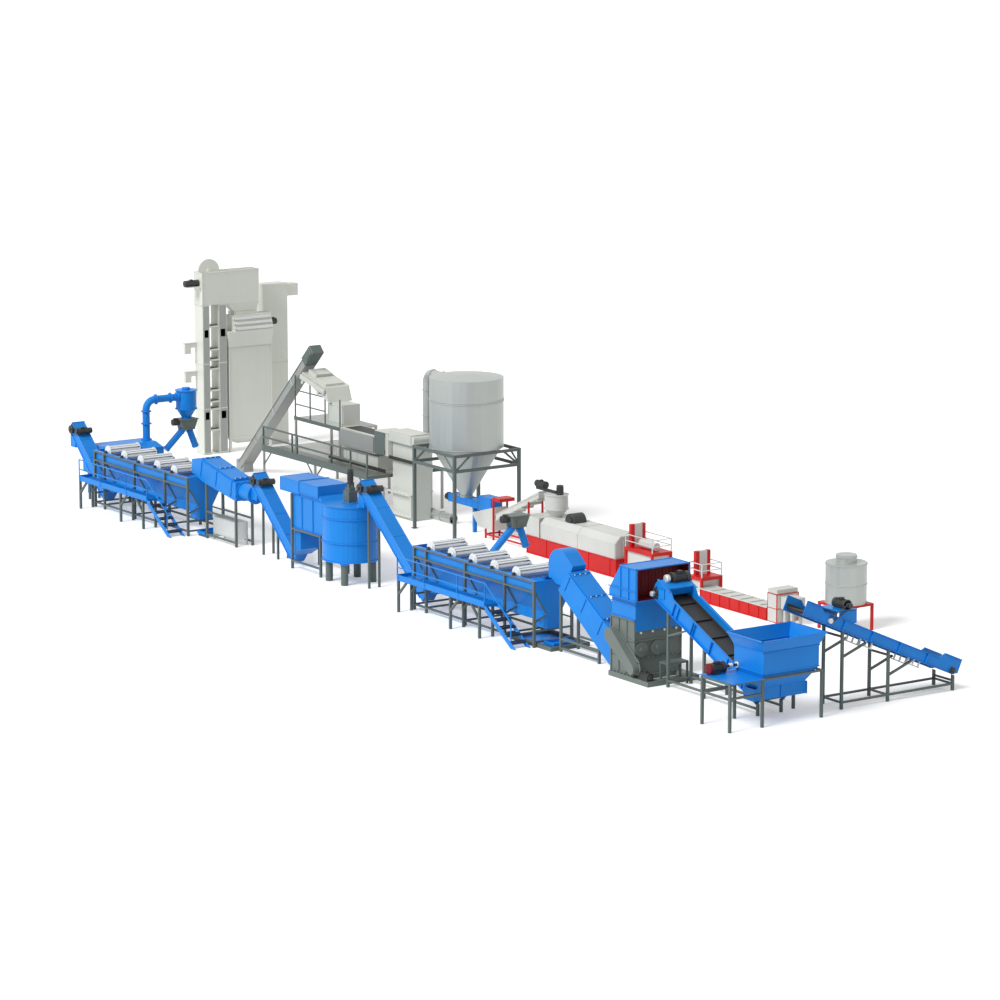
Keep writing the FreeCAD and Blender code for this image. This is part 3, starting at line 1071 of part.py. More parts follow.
# Inclined conveyor, and the sorting platform with its feeder and machines
incline = sizes(incline_near=4700, incline_width=280, incline_foot_x=-23650, incline_foot_z=20,
                incline_head_x=-20110, incline_head_z=3400, incline_height=190, incline_tail_back=150,
                incline_tail_front=200, incline_tail_top=300)
incline_run = incline.incline_head_x - incline.incline_foot_x
incline_rise = incline.incline_head_z - incline.incline_foot_z
incline_reach = long_side(incline_rise, incline_run)
node("incline_conveyor", join(
    profile("Y", [(0, 0), (incline_reach, 0), (incline_reach, incline.incline_height),
                  (0, incline.incline_height)],
            incline.incline_width, (incline.incline_foot_x, incline.incline_near, incline.incline_foot_z),
            slope_of(incline_rise, incline_run)),
    between((incline.incline_foot_x - incline.incline_tail_back, incline.incline_near, 0),
            (incline.incline_foot_x + incline.incline_tail_front,
             incline.incline_near + incline.incline_width, incline.incline_tail_top))))
deck = sizes(deck_left=-21457, deck_right=-16743, deck_near=4063, deck_far=6200, deck_level=970, deck_thick=60,
             deck_rail=1520, deck_rail_low=300, upper_left=-20906, upper_right=-18848, upper_near=4640,
             upper_far=5700, upper_level=1750, upper_thick=50, feeder_width=660, feeder_left=-20515,
             feeder_left_z=2895, feeder_low_x=-20614, feeder_low_z=2806, feeder_right=-19467,
             feeder_right_z=2651, feeder_right_low_x=-19330, feeder_right_low_z=2315, sorter_left=-19521,
             sorter_right=-18820, sorter_low=1861, sorter_top=2278, belt_box_right=-17290,
             belt_box_low=1372, belt_box_top=1800, cover_right=-16700, cover_low=1407, cover_top=1954,
             belt_end=-15755, belt_low=1793, belt_top=2020, machine_left=-19157, machine_right=-17309,
             machine_top=1300, machine_inset=100, machine_depth=560, prop_left=-16680, prop_right=-15768)
deck_under = deck.deck_level - deck.deck_thick
upper_under = deck.upper_level - deck.upper_thick
platform = [between((deck.deck_left, deck.deck_near, deck_under), (deck.deck_right, deck.deck_far, deck.deck_level)),
            between((deck.upper_left, deck.upper_near, upper_under),
                    (deck.upper_right, deck.upper_far, deck.upper_level))]
deck_middle = (deck.deck_left + deck.deck_right) / 2
for x in (deck.deck_left, deck_middle, deck.deck_right - shared.post):
    for y in (deck.deck_near, deck.deck_far - shared.post):
        platform.append(box(x, y, 0, shared.post, shared.post, deck_under - shared.joint_gap))
for x in (deck.upper_left, deck.upper_right - shared.post):
    for y in (deck.upper_near, deck.upper_far - shared.post):
        platform.append(between((x, y, deck.deck_level + shared.joint_gap),
                                (x + shared.post, y + shared.post, upper_under - shared.joint_gap)))
node("sorting_platform", *platform)
rail_step = (deck.deck_right - deck.deck_left - shared.rail) / 3
rail_spots = [deck.deck_left + shared.rail / 2 + rail_step * number for number in range(4)]
rail_bottom = deck.deck_level + shared.joint_gap
node("sorting_platform_rails", posts_and_rails(
    "Y", deck.deck_near, shared.rail, shared.rail, [(x, rail_bottom, deck.deck_rail) for x in rail_spots],
    [(deck.deck_left, deck.deck_right, deck.deck_rail),
     (deck.deck_left, deck.deck_right, deck.deck_level + deck.deck_rail_low)], (), shared.rail))
machine_near = deck.upper_near + deck.machine_inset
machine_far = deck.upper_near + deck.machine_depth
upper_seat = deck.upper_level + shared.joint_gap
node("sorting_machines",
     join(profile("Y", [(deck.feeder_low_x, deck.feeder_low_z), (deck.feeder_right_low_x, deck.feeder_right_low_z),
                        (deck.feeder_right, deck.feeder_right_z), (deck.feeder_left, deck.feeder_left_z)],
                  deck.feeder_width, (0, deck.upper_near, 0)),
          between((deck.sorter_left, machine_near, upper_seat),
                  (deck.sorter_right, machine_far, deck.feeder_right_low_z))),
     between((deck.sorter_right + shared.joint_gap, deck.upper_near, deck.belt_box_low),
             (deck.belt_box_right, machine_far, deck.belt_box_top)),
     between((deck.belt_box_right + shared.joint_gap, deck.upper_near, deck.cover_low),
             (deck.cover_right, machine_far, deck.cover_top)),
     join(between((deck.cover_right + shared.joint_gap, deck.upper_near, deck.belt_low),
                  (deck.belt_end, machine_far, deck.belt_top)),
          between((deck.prop_left, machine_near, 0), (deck.prop_right, machine_far, deck.belt_low))),
     between((deck.machine_left, machine_near, rail_bottom),
             (deck.machine_right, machine_far, deck.machine_top)))

# Storage silo in its frame with its outlet screw and filling duct, and the small product silo
silo = sizes(silo_x=-14276, silo_y=5204, silo_radius=850, silo_low=1947, silo_top=3560, silo_cone_top=1977,
             silo_outlet_low=600, silo_outlet_top=770, silo_neck=110, silo_roof=60, silo_half_x=865,
             silo_half_y=920, silo_post=70, silo_rail=50, silo_second_rail=1600, knee_side=30, knee_run=450,
             knee_fall=500, knee_up=50, outlet_left=570, outlet_right=1216, outlet_half=120,
             outlet_head=516, outlet_head_edge=30, outlet_head_rise=145, outlet_motor_y=49,
             outlet_motor_long=160, outlet_post_left=300, outlet_post_wide=70,
             outlet_post_half=40, duct_x=-16060, duct_y=5312, duct_radius=110, duct_top=3400,
             duct_bend=200, duct_low=125, duct_end=-14990, product_x=-1250, product_y=5780,
             product_radius=425, product_low=560, product_top=1385, product_cap=1556,
             product_cap_radius=215, product_frame=560, product_spout=60, product_spout_low=330,
             product_edge=20, product_cone_edge=60, product_leg=50)
round_sides = 32
product_base = silo.product_low + shared.joint_gap
node("silo_shells",
     faceted_tube(silo.silo_x, silo.silo_y, silo.silo_low, silo.silo_radius, shared.wall,
                  silo.silo_top - silo.silo_low, round_sides),
     faceted_tube(silo.product_x, silo.product_y, product_base, silo.product_radius, shared.wall,
                  silo.product_top - product_base, round_sides))
cone_top_radius = silo.silo_radius - 2 * shared.wall
cone_low = silo.silo_outlet_top + shared.joint_gap
silo_cone = cut(
    faceted_cone(silo.silo_x, silo.silo_y, cone_low, silo.silo_neck, cone_top_radius,
                 silo.silo_cone_top - cone_low, round_sides),
    faceted_cone(silo.silo_x, silo.silo_y, cone_low, silo.silo_neck - shared.wall,
                 cone_top_radius - shared.wall, silo.silo_cone_top - cone_low, round_sides))
silo_roof = faceted_cone(silo.silo_x, silo.silo_y, silo.silo_top + shared.joint_gap, silo.silo_radius,
                         silo.silo_neck, silo.silo_roof, round_sides)
product_cone_top = silo.product_low - shared.post - shared.joint_gap
product_floor = faceted_cone(silo.product_x, silo.product_y, silo.product_spout_low, silo.product_spout,
                             silo.product_radius - silo.product_cone_edge,
                             product_cone_top - silo.product_spout_low, round_sides)
product_roof = join(
    faceted(silo.product_x, silo.product_y, silo.product_top + shared.joint_gap, silo.product_radius,
            shared.wall, round_sides),
    faceted(silo.product_x, silo.product_y, silo.product_top + shared.joint_gap, silo.product_cap_radius,
            silo.product_cap - silo.product_top, round_sides))
node("silo_ends", silo_cone, silo_roof, product_floor, product_roof)
silo_left = silo.silo_x - silo.silo_half_x
silo_right = silo.silo_x + silo.silo_half_x
silo_near = silo.silo_y - silo.silo_half_y
silo_far = silo.silo_y + silo.silo_half_y
silo_frame = []
frame_top = silo.silo_low - shared.joint_gap
for x in (silo_left, silo_right - silo.silo_post):
    for y in (silo_near, silo_far - silo.silo_post):
        silo_frame.append(box(x, y, 0, silo.silo_post, silo.silo_post, frame_top))
for level in (frame_top, silo.silo_second_rail):
    for y in (silo_near, silo_far - silo.silo_rail):
        silo_frame.append(between((silo_left, y, level - silo.silo_post), (silo_right, y + silo.silo_rail, level)))
    for x in (silo_left, silo_right - silo.silo_rail):
        silo_frame.append(between((x, silo_near, level - silo.silo_post), (x + silo.silo_rail, silo_far, level)))
for y in (silo_near, silo_far - silo.silo_rail):
    for spot, way in ((silo_left + silo.knee_side, 1), (silo_right - silo.knee_side, -1)):
        silo_frame.append(strut("Y", (spot, silo.silo_second_rail - silo.knee_fall),
                                (spot + silo.knee_run * way, silo.silo_second_rail - silo.knee_up),
                                shared.rail, y, silo.silo_rail))
node("silo_frame", join(*silo_frame))
outlet_head_x = silo.silo_x + silo.outlet_right - silo.outlet_head
node("silo_outlet_screw", join(
    between((silo.silo_x - silo.outlet_left, silo.silo_y - silo.outlet_half, silo.silo_outlet_low),
            (silo.silo_x + silo.outlet_right, silo.silo_y + silo.outlet_half, silo.silo_outlet_top)),
    between((outlet_head_x, silo.silo_y - silo.outlet_half - silo.outlet_head_edge, silo.silo_outlet_low),
            (silo.silo_x + silo.outlet_right, silo.silo_y + silo.outlet_half + silo.outlet_head_edge,
             silo.silo_outlet_top + silo.outlet_head_rise)),
    box(silo.silo_x + silo.outlet_post_left, silo.silo_y - silo.outlet_post_half, 0, silo.outlet_post_wide,
        2 * silo.outlet_post_half, silo.silo_outlet_low)))
outlet_motor = faceted(silo.silo_x - silo.outlet_left - shared.joint_gap - silo.outlet_motor_long,
                       silo.silo_y - silo.outlet_motor_y,
                       (silo.silo_outlet_low + silo.silo_outlet_top) / 2, shared.motor_radius,
                       silo.outlet_motor_long, 16, "X")
duct_turn = silo.duct_top - silo.duct_bend
node("silo_duct", cut(join(
    faceted(silo.duct_x, silo.duct_y, silo.duct_low, silo.duct_radius, duct_turn - silo.duct_low, 12),
    elbow(silo.duct_x, silo.duct_y, duct_turn, silo.duct_radius, silo.duct_bend, 12, (0, 1, 0), (1, 0)),
    faceted(silo.duct_x + silo.duct_bend, silo.duct_y, silo.duct_top, silo.duct_radius,
            silo.silo_x - silo.duct_x - silo.duct_bend, 12, "X"),
    faceted(silo.duct_x, silo.duct_y, silo.duct_low, silo.duct_radius, silo.duct_end - silo.duct_x, 12, "X")),
    faceted(silo.silo_x, silo.silo_y, silo.silo_outlet_top, silo.silo_radius + shared.joint_gap,
            silo.silo_top - silo.silo_outlet_top, round_sides)))

# Pelletizing line behind the tanks: tray and covered belt, compactor, extruder, trough and pelletizer
line = sizes(base_left=-11353, base_right=-7960, base_near=4863, base_width=700, base_height=410,
             extruder_left=-10817, extruder_right=-7990, hood_front=745, hood_top_z=880, hood_slant=137,
             cabinet_left=-11369, cabinet_right=-10868, cabinet_top=840, compactor_x=-10710,
             compactor_y=5213, compactor_radius=265, compactor_low=793, compactor_knee=1063,
             compactor_top=1395, compactor_neck=120, top_motor_left=-11463, top_motor_right=-11113,
             top_motor_z=1525, top_bar=60, side_motor_x=-10571, side_motor_high=214, tray_left=-13828,
             tray_left_z=495, tray_right=-12897, tray_right_z=758, tray_low_x=-13544, tray_low_z=216,
             belt_left=-12857, belt_left_z=603, belt_right=-11007, belt_right_z=1395, belt_deep=150,
             belt_half=170, arch_x=-12937, arch_right=-12640, arch_z=912, arch_high=74, line_rail_z=112,
             line_leg_1=-13248, line_leg_2=-11500, line_leg_2_top=1100)
base_far = line.base_near + line.base_width
base_middle = line.base_near + line.base_width / 2
side_near = base_middle - line.belt_half - shared.rail
side_far = base_middle + line.belt_half
side_wide = 2 * line.belt_half + 2 * shared.rail
feeder_legs = []
for y in (side_near, side_far):
    feeder_legs.append(between((line.line_leg_1, y, 0), (line.line_leg_1 + shared.rail, y + shared.rail,
                                                         line.tray_low_z)))
    feeder_legs.append(between((line.arch_x, y, 0), (line.arch_x + shared.rail, y + shared.rail, line.arch_z)))
    feeder_legs.append(between((line.line_leg_2 - shared.rail, y, 0), (line.line_leg_2, y + shared.rail,
                                                                       line.line_leg_2_top)))
    feeder_legs.append(between((line.line_leg_1, y, line.line_rail_z - shared.rail),
                               (line.line_leg_2, y + shared.rail, line.line_rail_z)))
feeder_legs.append(between((line.arch_x, side_near, line.arch_z),
                           (line.arch_right, side_far + shared.rail, line.arch_z + line.arch_high)))
for x in (line.line_leg_1, line.line_leg_2 - shared.rail):
    feeder_legs.append(box(x, side_near, line.line_rail_z - shared.rail, shared.rail, side_wide, shared.rail))
unit = sizes(unit_1_x=-7780, unit_1_long=1000, unit_1_near=4953, unit_1_far=5500, unit_1_beam=720,
             unit_1_box_low=300, unit_1_box=637, unit_1_top=1215, unit_2_x=-5500, unit_2_long=450,
             unit_2_near=4973, unit_2_far=5533, unit_2_beam=490, unit_2_box_low=150, unit_2_box=420,
             unit_2_top=1000, unit_beam=70, unit_column=90, unit_column_side=145, unit_column_back=40,
             barrel_radius=90, barrel_z=800, barrel_long=560)


def drive_unit(left, long, near, far, beam, box_low, box_top, top):
    """Two red columns side by side above a red stand that holds a white drive box."""
    middle_y = (near + far) / 2
    red = [between((left, near, beam - unit.unit_beam), (left + long, far, beam))]
    for x in (left, left + long - shared.post):
        for y in (near, far - shared.post):
            red.append(box(x, y, 0, shared.post, shared.post, beam - unit.unit_beam))
    column_x = left - unit.unit_column_back + unit.unit_column
    for way in (-1, 1):
        y = middle_y + unit.unit_column_side * way - unit.unit_column / 2
        red.append(between((column_x, y, beam), (column_x + unit.unit_column, y + unit.unit_column, top)))
    inset = shared.post + shared.joint_gap
    white = [between((left + inset, near + inset, box_low), (left + long - inset, far - inset, box_top)),
             between((column_x, middle_y - unit.unit_column_side + unit.unit_column / 2 + shared.joint_gap,
                      beam + shared.joint_gap),
                     (column_x + unit.unit_column,
                      middle_y + unit.unit_column_side - unit.unit_column / 2 - shared.joint_gap, top))]
    return join(*red), white


unit_1_red, unit_1_white = drive_unit(unit.unit_1_x, unit.unit_1_long, unit.unit_1_near, unit.unit_1_far,
                                      unit.unit_1_beam, unit.unit_1_box_low, unit.unit_1_box, unit.unit_1_top)
unit_2_red, unit_2_white = drive_unit(unit.unit_2_x, unit.unit_2_long, unit.unit_2_near, unit.unit_2_far,
                                      unit.unit_2_beam, unit.unit_2_box_low, unit.unit_2_box, unit.unit_2_top)
unit_barrel = faceted(unit.unit_1_x + unit.unit_1_long / 4, (unit.unit_1_near + unit.unit_1_far) / 2,
                      unit.unit_1_beam + unit.barrel_radius, unit.barrel_radius, unit.barrel_long, 16, "X")
product_side = silo.product_radius - silo.product_edge
product_under = silo.product_low - shared.post
product_frame = [between((silo.product_x - product_side, silo.product_y - product_side, product_under),
                         (silo.product_x + product_side, silo.product_y + product_side, silo.product_low))]
for x in (silo.product_x - product_side, silo.product_x + product_side - silo.product_leg):
    for y in (silo.product_y - product_side, silo.product_y + product_side - silo.product_leg):
        product_frame.append(box(x, y, 0, silo.product_leg, silo.product_leg, product_under))
pellet = sizes(pellet_left=-2741, pellet_right=-2433, pellet_near=4926, pellet_far=5500, pellet_top=590,
               pellet_y=5200, pellet_z=290, pellet_radius=80, pellet_barrel_end=-1929, pellet_foot=80,
               trough_left=-5040, trough_right=-2772, trough_near_y=4926, trough_far_y=5346,
               trough_floor_z=20, trough_top_z=283)
node("pellet_line_base",
     between((line.base_left, line.base_near, 0), (line.base_right, base_far, line.base_height)),
     join(*feeder_legs), unit_1_red, unit_2_red, join(*product_frame))
hood_seat = line.base_height + shared.joint_gap
screw_side = silo.outlet_half + silo.outlet_head_edge + shared.joint_gap
tray_space = between(
    (line.tray_left, silo.silo_y - screw_side, silo.silo_outlet_low - shared.joint_gap),
    (silo.silo_x + silo.outlet_right + shared.joint_gap, silo.silo_y + screw_side, line.tray_right_z))
node("extruder_hood", join(
    profile("X", [(line.base_near, hood_seat), (base_far, hood_seat), (base_far, line.hood_top_z),
                  (line.base_near + line.hood_slant, line.hood_top_z), (line.base_near, line.hood_front)],
            line.extruder_right - line.extruder_left, (line.extruder_left, 0, 0)),
    between((line.cabinet_left, line.base_near, hood_seat), (line.cabinet_right, base_far, line.cabinet_top))),
    cut(profile("Y", [(line.tray_low_x, line.tray_low_z), (line.tray_right, line.tray_low_z),
                      (line.tray_right, line.tray_right_z), (line.tray_left, line.tray_left_z)],
                2 * line.belt_half - 2 * shared.joint_gap,
                (0, base_middle - line.belt_half + shared.joint_gap, 0)), tray_space),
    profile("Y", [(line.belt_left, line.belt_left_z - line.belt_deep),
                  (line.belt_right - line.belt_deep, line.belt_right_z - line.belt_deep),
                  (line.belt_right - line.belt_deep, line.belt_right_z), (line.belt_left, line.belt_left_z)],
            2 * line.belt_half - 2 * shared.joint_gap,
            (0, base_middle - line.belt_half + shared.joint_gap, 0)),
    *unit_1_white, *unit_2_white, unit_barrel,
    join(between((pellet.pellet_left, pellet.pellet_near, 0),
                 (pellet.pellet_right, pellet.pellet_far, pellet.pellet_top)),
         faceted(pellet.pellet_right, pellet.pellet_y, pellet.pellet_z, pellet.pellet_radius,
                 pellet.pellet_barrel_end - pellet.pellet_right, 16, "X")))
compactor_seat = line.hood_top_z + shared.joint_gap
node("compactor", join(
    faceted_cone(line.compactor_x, line.compactor_y, compactor_seat, line.compactor_neck, line.compactor_radius,
                 line.compactor_knee - compactor_seat, 24),
    faceted(line.compactor_x, line.compactor_y, line.compactor_knee, line.compactor_radius,
            line.compactor_top - line.compactor_knee, 24)))
compactor_motors = [
    join(box(line.top_motor_left, line.compactor_y - line.top_bar / 2, line.compactor_top,
             line.compactor_x - line.top_motor_left, line.top_bar, line.top_bar),
         faceted(line.top_motor_left, line.compactor_y, line.top_motor_z, shared.motor_radius,
                 line.top_motor_right - line.top_motor_left, 16, "X")),
    faceted(line.side_motor_x, line.compactor_y, line.compactor_top, shared.motor_radius,
            line.side_motor_high, 16)]
node("cooling_trough", cut(
    between((pellet.trough_left, pellet.trough_near_y, 0),
            (pellet.trough_right, pellet.trough_far_y, pellet.trough_top_z)),
    between((pellet.trough_left + shared.wall, pellet.trough_near_y + shared.wall, pellet.trough_floor_z),
            (pellet.trough_right - shared.wall, pellet.trough_far_y - shared.wall, pellet.trough_top_z))))

# Rinse water tank between the washers, the drive motors and the cross ties of the frames
rinse = sizes(rinse_left=-16614, rinse_right=-15590, rinse_half=150, rinse_low=133, rinse_top=539)
rinse_legs = [between((x, y, 0), (x + shared.rail, y + shared.rail, rinse.rinse_low))
              for x in (rinse.rinse_left, rinse.rinse_right - shared.rail)
              for y in (-rinse.rinse_half, rinse.rinse_half - shared.rail)]
node("rinse_water_tank", join(
    cut(between((rinse.rinse_left, -rinse.rinse_half, rinse.rinse_low),
                (rinse.rinse_right, rinse.rinse_half, rinse.rinse_top)),
        between((rinse.rinse_left + shared.wall, -rinse.rinse_half + shared.wall, rinse.rinse_low + shared.wall),
                (rinse.rinse_right - shared.wall, rinse.rinse_half - shared.wall, rinse.rinse_top))),
    *rinse_legs))
node("drive_motors", agitator_drive, hopper_motor, crusher_motor, outlet_motor, *screw_motors, *chute_motors,
     *tower_motors, *compactor_motors)
node("frame_cross_ties", *cross_ties)
# Everything is worked out, tested and written
doc.recompute()
for thing in doc.Objects:
    for word in ("Invalid", "Error"):
        if word in thing.State:
            raise RuntimeError(f"{thing.Label} is {word}")
for name, part in parts.items():
    shape = part.Shape
    if shape.isNull() or not shape.isValid():
        raise RuntimeError(f"{name} has no valid shape")
os.makedirs("parts", exist_ok=True)
for name, part in parts.items():
    part.Shape.exportStep(f"parts/{name}.step")
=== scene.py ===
import math

import bpy
from mathutils import Matrix, Vector


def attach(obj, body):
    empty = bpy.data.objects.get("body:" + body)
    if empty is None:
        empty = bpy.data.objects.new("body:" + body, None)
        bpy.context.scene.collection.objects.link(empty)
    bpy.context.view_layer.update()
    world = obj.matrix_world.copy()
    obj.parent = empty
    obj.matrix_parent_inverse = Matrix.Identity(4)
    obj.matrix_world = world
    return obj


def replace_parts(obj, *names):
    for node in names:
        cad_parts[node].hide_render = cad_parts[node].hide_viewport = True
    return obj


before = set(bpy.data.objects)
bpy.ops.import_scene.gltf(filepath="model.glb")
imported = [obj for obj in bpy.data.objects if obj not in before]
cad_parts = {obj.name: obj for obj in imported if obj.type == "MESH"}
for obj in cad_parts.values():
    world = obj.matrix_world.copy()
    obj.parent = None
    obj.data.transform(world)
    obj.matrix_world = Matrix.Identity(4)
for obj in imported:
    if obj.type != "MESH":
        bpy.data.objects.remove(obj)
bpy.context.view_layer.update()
bpy.ops.object.select_all(action="DESELECT")


# The floor is a plain pale studio floor, wide enough to fill the whole view behind the machines.
# It keeps their soft shadows, and is not part of the line.
class Wire:
    """One socket of a finish, so that a sum on it is written as Python."""

    def __init__(self, finish, socket):
        self.finish = finish
        self.socket = socket

    def __add__(self, other):
        return self.finish.maths("ADD", self, other)

    def __radd__(self, other):
        return self.finish.maths("ADD", other, self)

    def __mul__(self, other):
        return self.finish.maths("MULTIPLY", self, other)

    def __rmul__(self, other):
        return self.finish.maths("MULTIPLY", other, self)


class Finish:
    """A material: add() makes any node of it, and sums on its wires make the Math nodes."""

    def __init__(self, name):
        self.material = bpy.data.materials.new(name)
        self.material.use_nodes = True
        self.tree = self.material.node_tree
        self.shader = self.tree.nodes["Principled BSDF"]
        self.output = self.tree.nodes["Material Output"]

    def add(self, kind, settings=None, inputs=None, output=0):
        """A node of any type: its settings are set first, then the values or links of its sockets."""
        node = self.tree.nodes.new(kind)
        for name, value in (settings or {}).items():
            if name == "stops":
                self.set_stops(node.color_ramp, value)
            else:
                setattr(node, name, value)
        for name, value in (inputs or {}).items():
            self.feed(node.inputs[name], value)
        return Wire(self, node.outputs[output])

    def set_stops(self, ramp, stops):
        """Puts the colours of a ramp at their places."""
        while len(ramp.elements) < len(stops):
            ramp.elements.new(1.0)
        for element, (place, colour) in zip(ramp.elements, stops):
            element.position = place
            element.color = colour

    def feed(self, socket, value):
        """Gives a socket a value or a wire."""
        if isinstance(value, Wire):
            self.tree.links.new(value.socket, socket)
        else:
            socket.default_value = value

    def maths(self, operation, first, second):
        return self.add("ShaderNodeMath", {"operation": operation}, {0: first, 1: second})

    def mix(self, factor, first, second):
        """One colour turning into another."""
        node = self.tree.nodes.new("ShaderNodeMix")
        node.data_type = "RGBA"
        self.feed(node.inputs[0], factor)
        self.feed(node.inputs[6], first)
        self.feed(node.inputs[7], second)
        return Wire(self, node.outputs[2])

    def noise(self, scale, detail=4.0, stretch=(1, 1, 1)):
        """Cloudy variation from 0 to 1 over the piece, stretched along its axes."""
        where = self.add("ShaderNodeTexCoord", output="Object")
        place = self.add("ShaderNodeMapping", None, {"Vector": where, "Scale": stretch})
        return self.add("ShaderNodeTexNoise", None, {"Vector": place, "Scale": scale, "Detail": detail})

    def bump(self, strength, distance, height):
        """Fine relief in the surface."""
        self.set(Normal=self.add("ShaderNodeBump", None,
                                 {"Strength": strength, "Distance": distance, "Height": height}))

    def set(self, **inputs):
        """Sets the shader's own sockets, by name with underscores for spaces."""
        for name, value in inputs.items():
            self.feed(self.shader.inputs[name.replace("_", " ")], value)

    def done(self):
        """The finished material."""
        return self.material


floor_reach = 700
bpy.ops.mesh.primitive_plane_add(size=floor_reach, location=(0, 0, -0.001))
floor = bpy.context.object
floor.name = "studio_floor"
floor_finish = Finish("studio_floor")
floor_finish.set(Base_Color=(0.93, 0.93, 0.93, 1), Roughness=0.9, Specular_IOR_Level=0.1)
camera_ray = floor_finish.add("ShaderNodeLightPath", output="Is Camera Ray")
glossy_ray = floor_finish.add("ShaderNodeLightPath", output="Is Glossy Ray")
glow = floor_finish.add("ShaderNodeEmission", None,
                        {"Color": (1, 1, 1, 1), "Strength": (camera_ray + glossy_ray) * 0.3})
both = floor_finish.add("ShaderNodeAddShader", None,
                        {0: Wire(floor_finish, floor_finish.shader.outputs[0]), 1: glow})
floor_finish.feed(floor_finish.output.inputs["Surface"], both)
floor.data.materials.append(floor_finish.material)

# The light is an even white studio with one broad lamp high on the camera's left.
# Its shadows are soft, as under a large hall roof.
world = bpy.data.worlds.new("studio")
world.use_nodes = True
world_tree = world.node_tree
background = world_tree.nodes["Background"]
background.inputs["Color"].default_value = (1, 1, 1, 1)
ray = world_tree.nodes.new("ShaderNodeLightPath")
seen = world_tree.nodes.new("ShaderNodeMath")
seen.use_clamp = True
world_tree.links.new(ray.outputs["Is Camera Ray"], seen.inputs[0])
world_tree.links.new(ray.outputs["Is Glossy Ray"], seen.inputs[1])
brightness = world_tree.nodes.new("ShaderNodeMapRange")
brightness.inputs["To Min"].default_value = 0.45
brightness.inputs["To Max"].default_value = 1.0
world_tree.links.new(seen.outputs["Value"], brightness.inputs["Value"])
world_tree.links.new(brightness.outputs["Result"], background.inputs["Strength"])
bpy.context.scene.world = world
lamp_from = Vector((0.1, -0.85, 0.8))
lamp_data = bpy.data.lights.new("broad_lamp", "SUN")
lamp_data.energy = 2.5
lamp_data.angle = math.radians(24)
lamp = bpy.data.objects.new("broad_lamp", lamp_data)
lamp.rotation_euler = lamp_from.to_track_quat("Z", "Y").to_euler()
bpy.context.scene.collection.objects.link(lamp)

# The camera stands far off and high, to the right of the feed end, with a long lens.
# It sees the line as the photograph shows it.
camera_data = bpy.data.cameras.new("camera")
camera_data.lens = 144
camera_data.sensor_width = 36
camera_data.clip_end = 900
camera = bpy.data.objects.new("camera", camera_data)
camera.location = (60.655, -44.96, 17.8048)
camera_aim = Vector((-0.81174, 0.55347, -0.18642))
camera.rotation_euler = camera_aim.to_track_quat("-Z", "Y").to_euler()
bpy.context.scene.collection.objects.link(camera)
bpy.context.scene.camera = camera
bpy.context.scene.view_settings.view_transform = "Standard"


def shades(colour, dark, light, lift=0.0):
    """A darker and a lighter tone of a colour."""
    return (tuple(c * dark for c in colour) + (1,), tuple(min(1, c * light + lift) for c in colour) + (1,))


def painted(name, colour, roughness=0.38, coat=0.06, wear=0.08):
    """A sprayed gloss paint with a slight orange peel, cloudy wear and streaks of dust."""
    finish = Finish(name)
    cloud = finish.noise(0.9, 3)
    streak = finish.noise(2.2, 5, (3, 3, 0.4))
    fine = finish.noise(38, 2)
    tone = finish.mix(cloud, *shades(colour, 0.84, 1.14, 0.004))
    grime = finish.add("ShaderNodeValToRGB", {"stops": [(0.56, (0, 0, 0, 1)), (0.86, (1, 1, 1, 1))]},
                       {"Fac": streak})
    worn = finish.mix(grime * wear, tone, (0.2, 0.19, 0.17, 1))
    finish.set(Base_Color=worn, Roughness=fine * 0.16 + (roughness - 0.06), Coat_Weight=coat,
               Coat_Roughness=0.22, Specular_IOR_Level=0.25)
    finish.bump(0.04, 0.004, fine)
    return finish.done()


def dull(name, colour, roughness=0.6):
    """Rubber, cast iron and other dull stuff with a fine grit."""
    finish = Finish(name)
    grit = finish.noise(30, 6)
    cloud = finish.noise(2.0, 3)
    tone = finish.mix(cloud * 0.5 + grit * 0.3, *shades(colour, 1.0, 1.5, 0.012))
    finish.set(Base_Color=tone, Roughness=grit * 0.2 + (roughness - 0.1))
    finish.bump(0.2, 0.003, grit)
    return finish.done()


def brushed(name, colour, roughness=0.38, metal=0.55, grain=(2, 2, 60)):
    """Rolled or folded bare sheet with a fine grain."""
    finish = Finish(name)
    cloud = finish.noise(0.7, 4)
    line = finish.noise(3.0, 6, grain)
    tone = finish.mix(cloud * 0.6 + line * 0.4, *shades(colour, 0.86, 1.08))
    finish.set(Base_Color=tone, Roughness=line * 0.22 + (roughness - 0.11), Metallic=metal)
    finish.bump(0.05, 0.003, line)
    return finish.done()


blue_paint = painted("blue_paint", (0.004, 0.225, 0.71))
frame_paint = painted("frame_paint", (0.12, 0.152, 0.142), 0.5, 0.05)
belt_rubber = dull("belt_rubber", (0.02, 0.019, 0.017))
black_iron = dull("black_iron", (0.022, 0.024, 0.024), 0.5)
stainless = brushed("stainless", (0.66, 0.68, 0.66), 0.36, 0.45)


def dress(material, *names):
    """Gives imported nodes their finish."""
    for name in names:
        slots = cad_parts[name].data.materials
        slots.clear()
        slots.append(material)


def laid(origin, turn, low, high):
    """A flat piece between two corners on a machine's own axes, which turn carries into the hall's."""
    low, high = Vector(low), Vector(high)
    middle = origin + turn @ ((low + high) / 2)
    bpy.ops.mesh.primitive_cube_add(size=1, location=middle, rotation=turn.to_euler(),
                                    scale=[abs(size) for size in high - low])
    bpy.ops.object.transform_apply(location=True, rotation=True, scale=True)
    return bpy.context.object


def slab(*corners):
    """A flat or square piece in the hall, between the x, y and z of two of its corners."""
    return laid(Vector(), Matrix.Identity(3), corners[:3], corners[3:])


def slabs(*rows):
    """Flat pieces, each between its own two corners."""
    return [slab(*row) for row in rows]


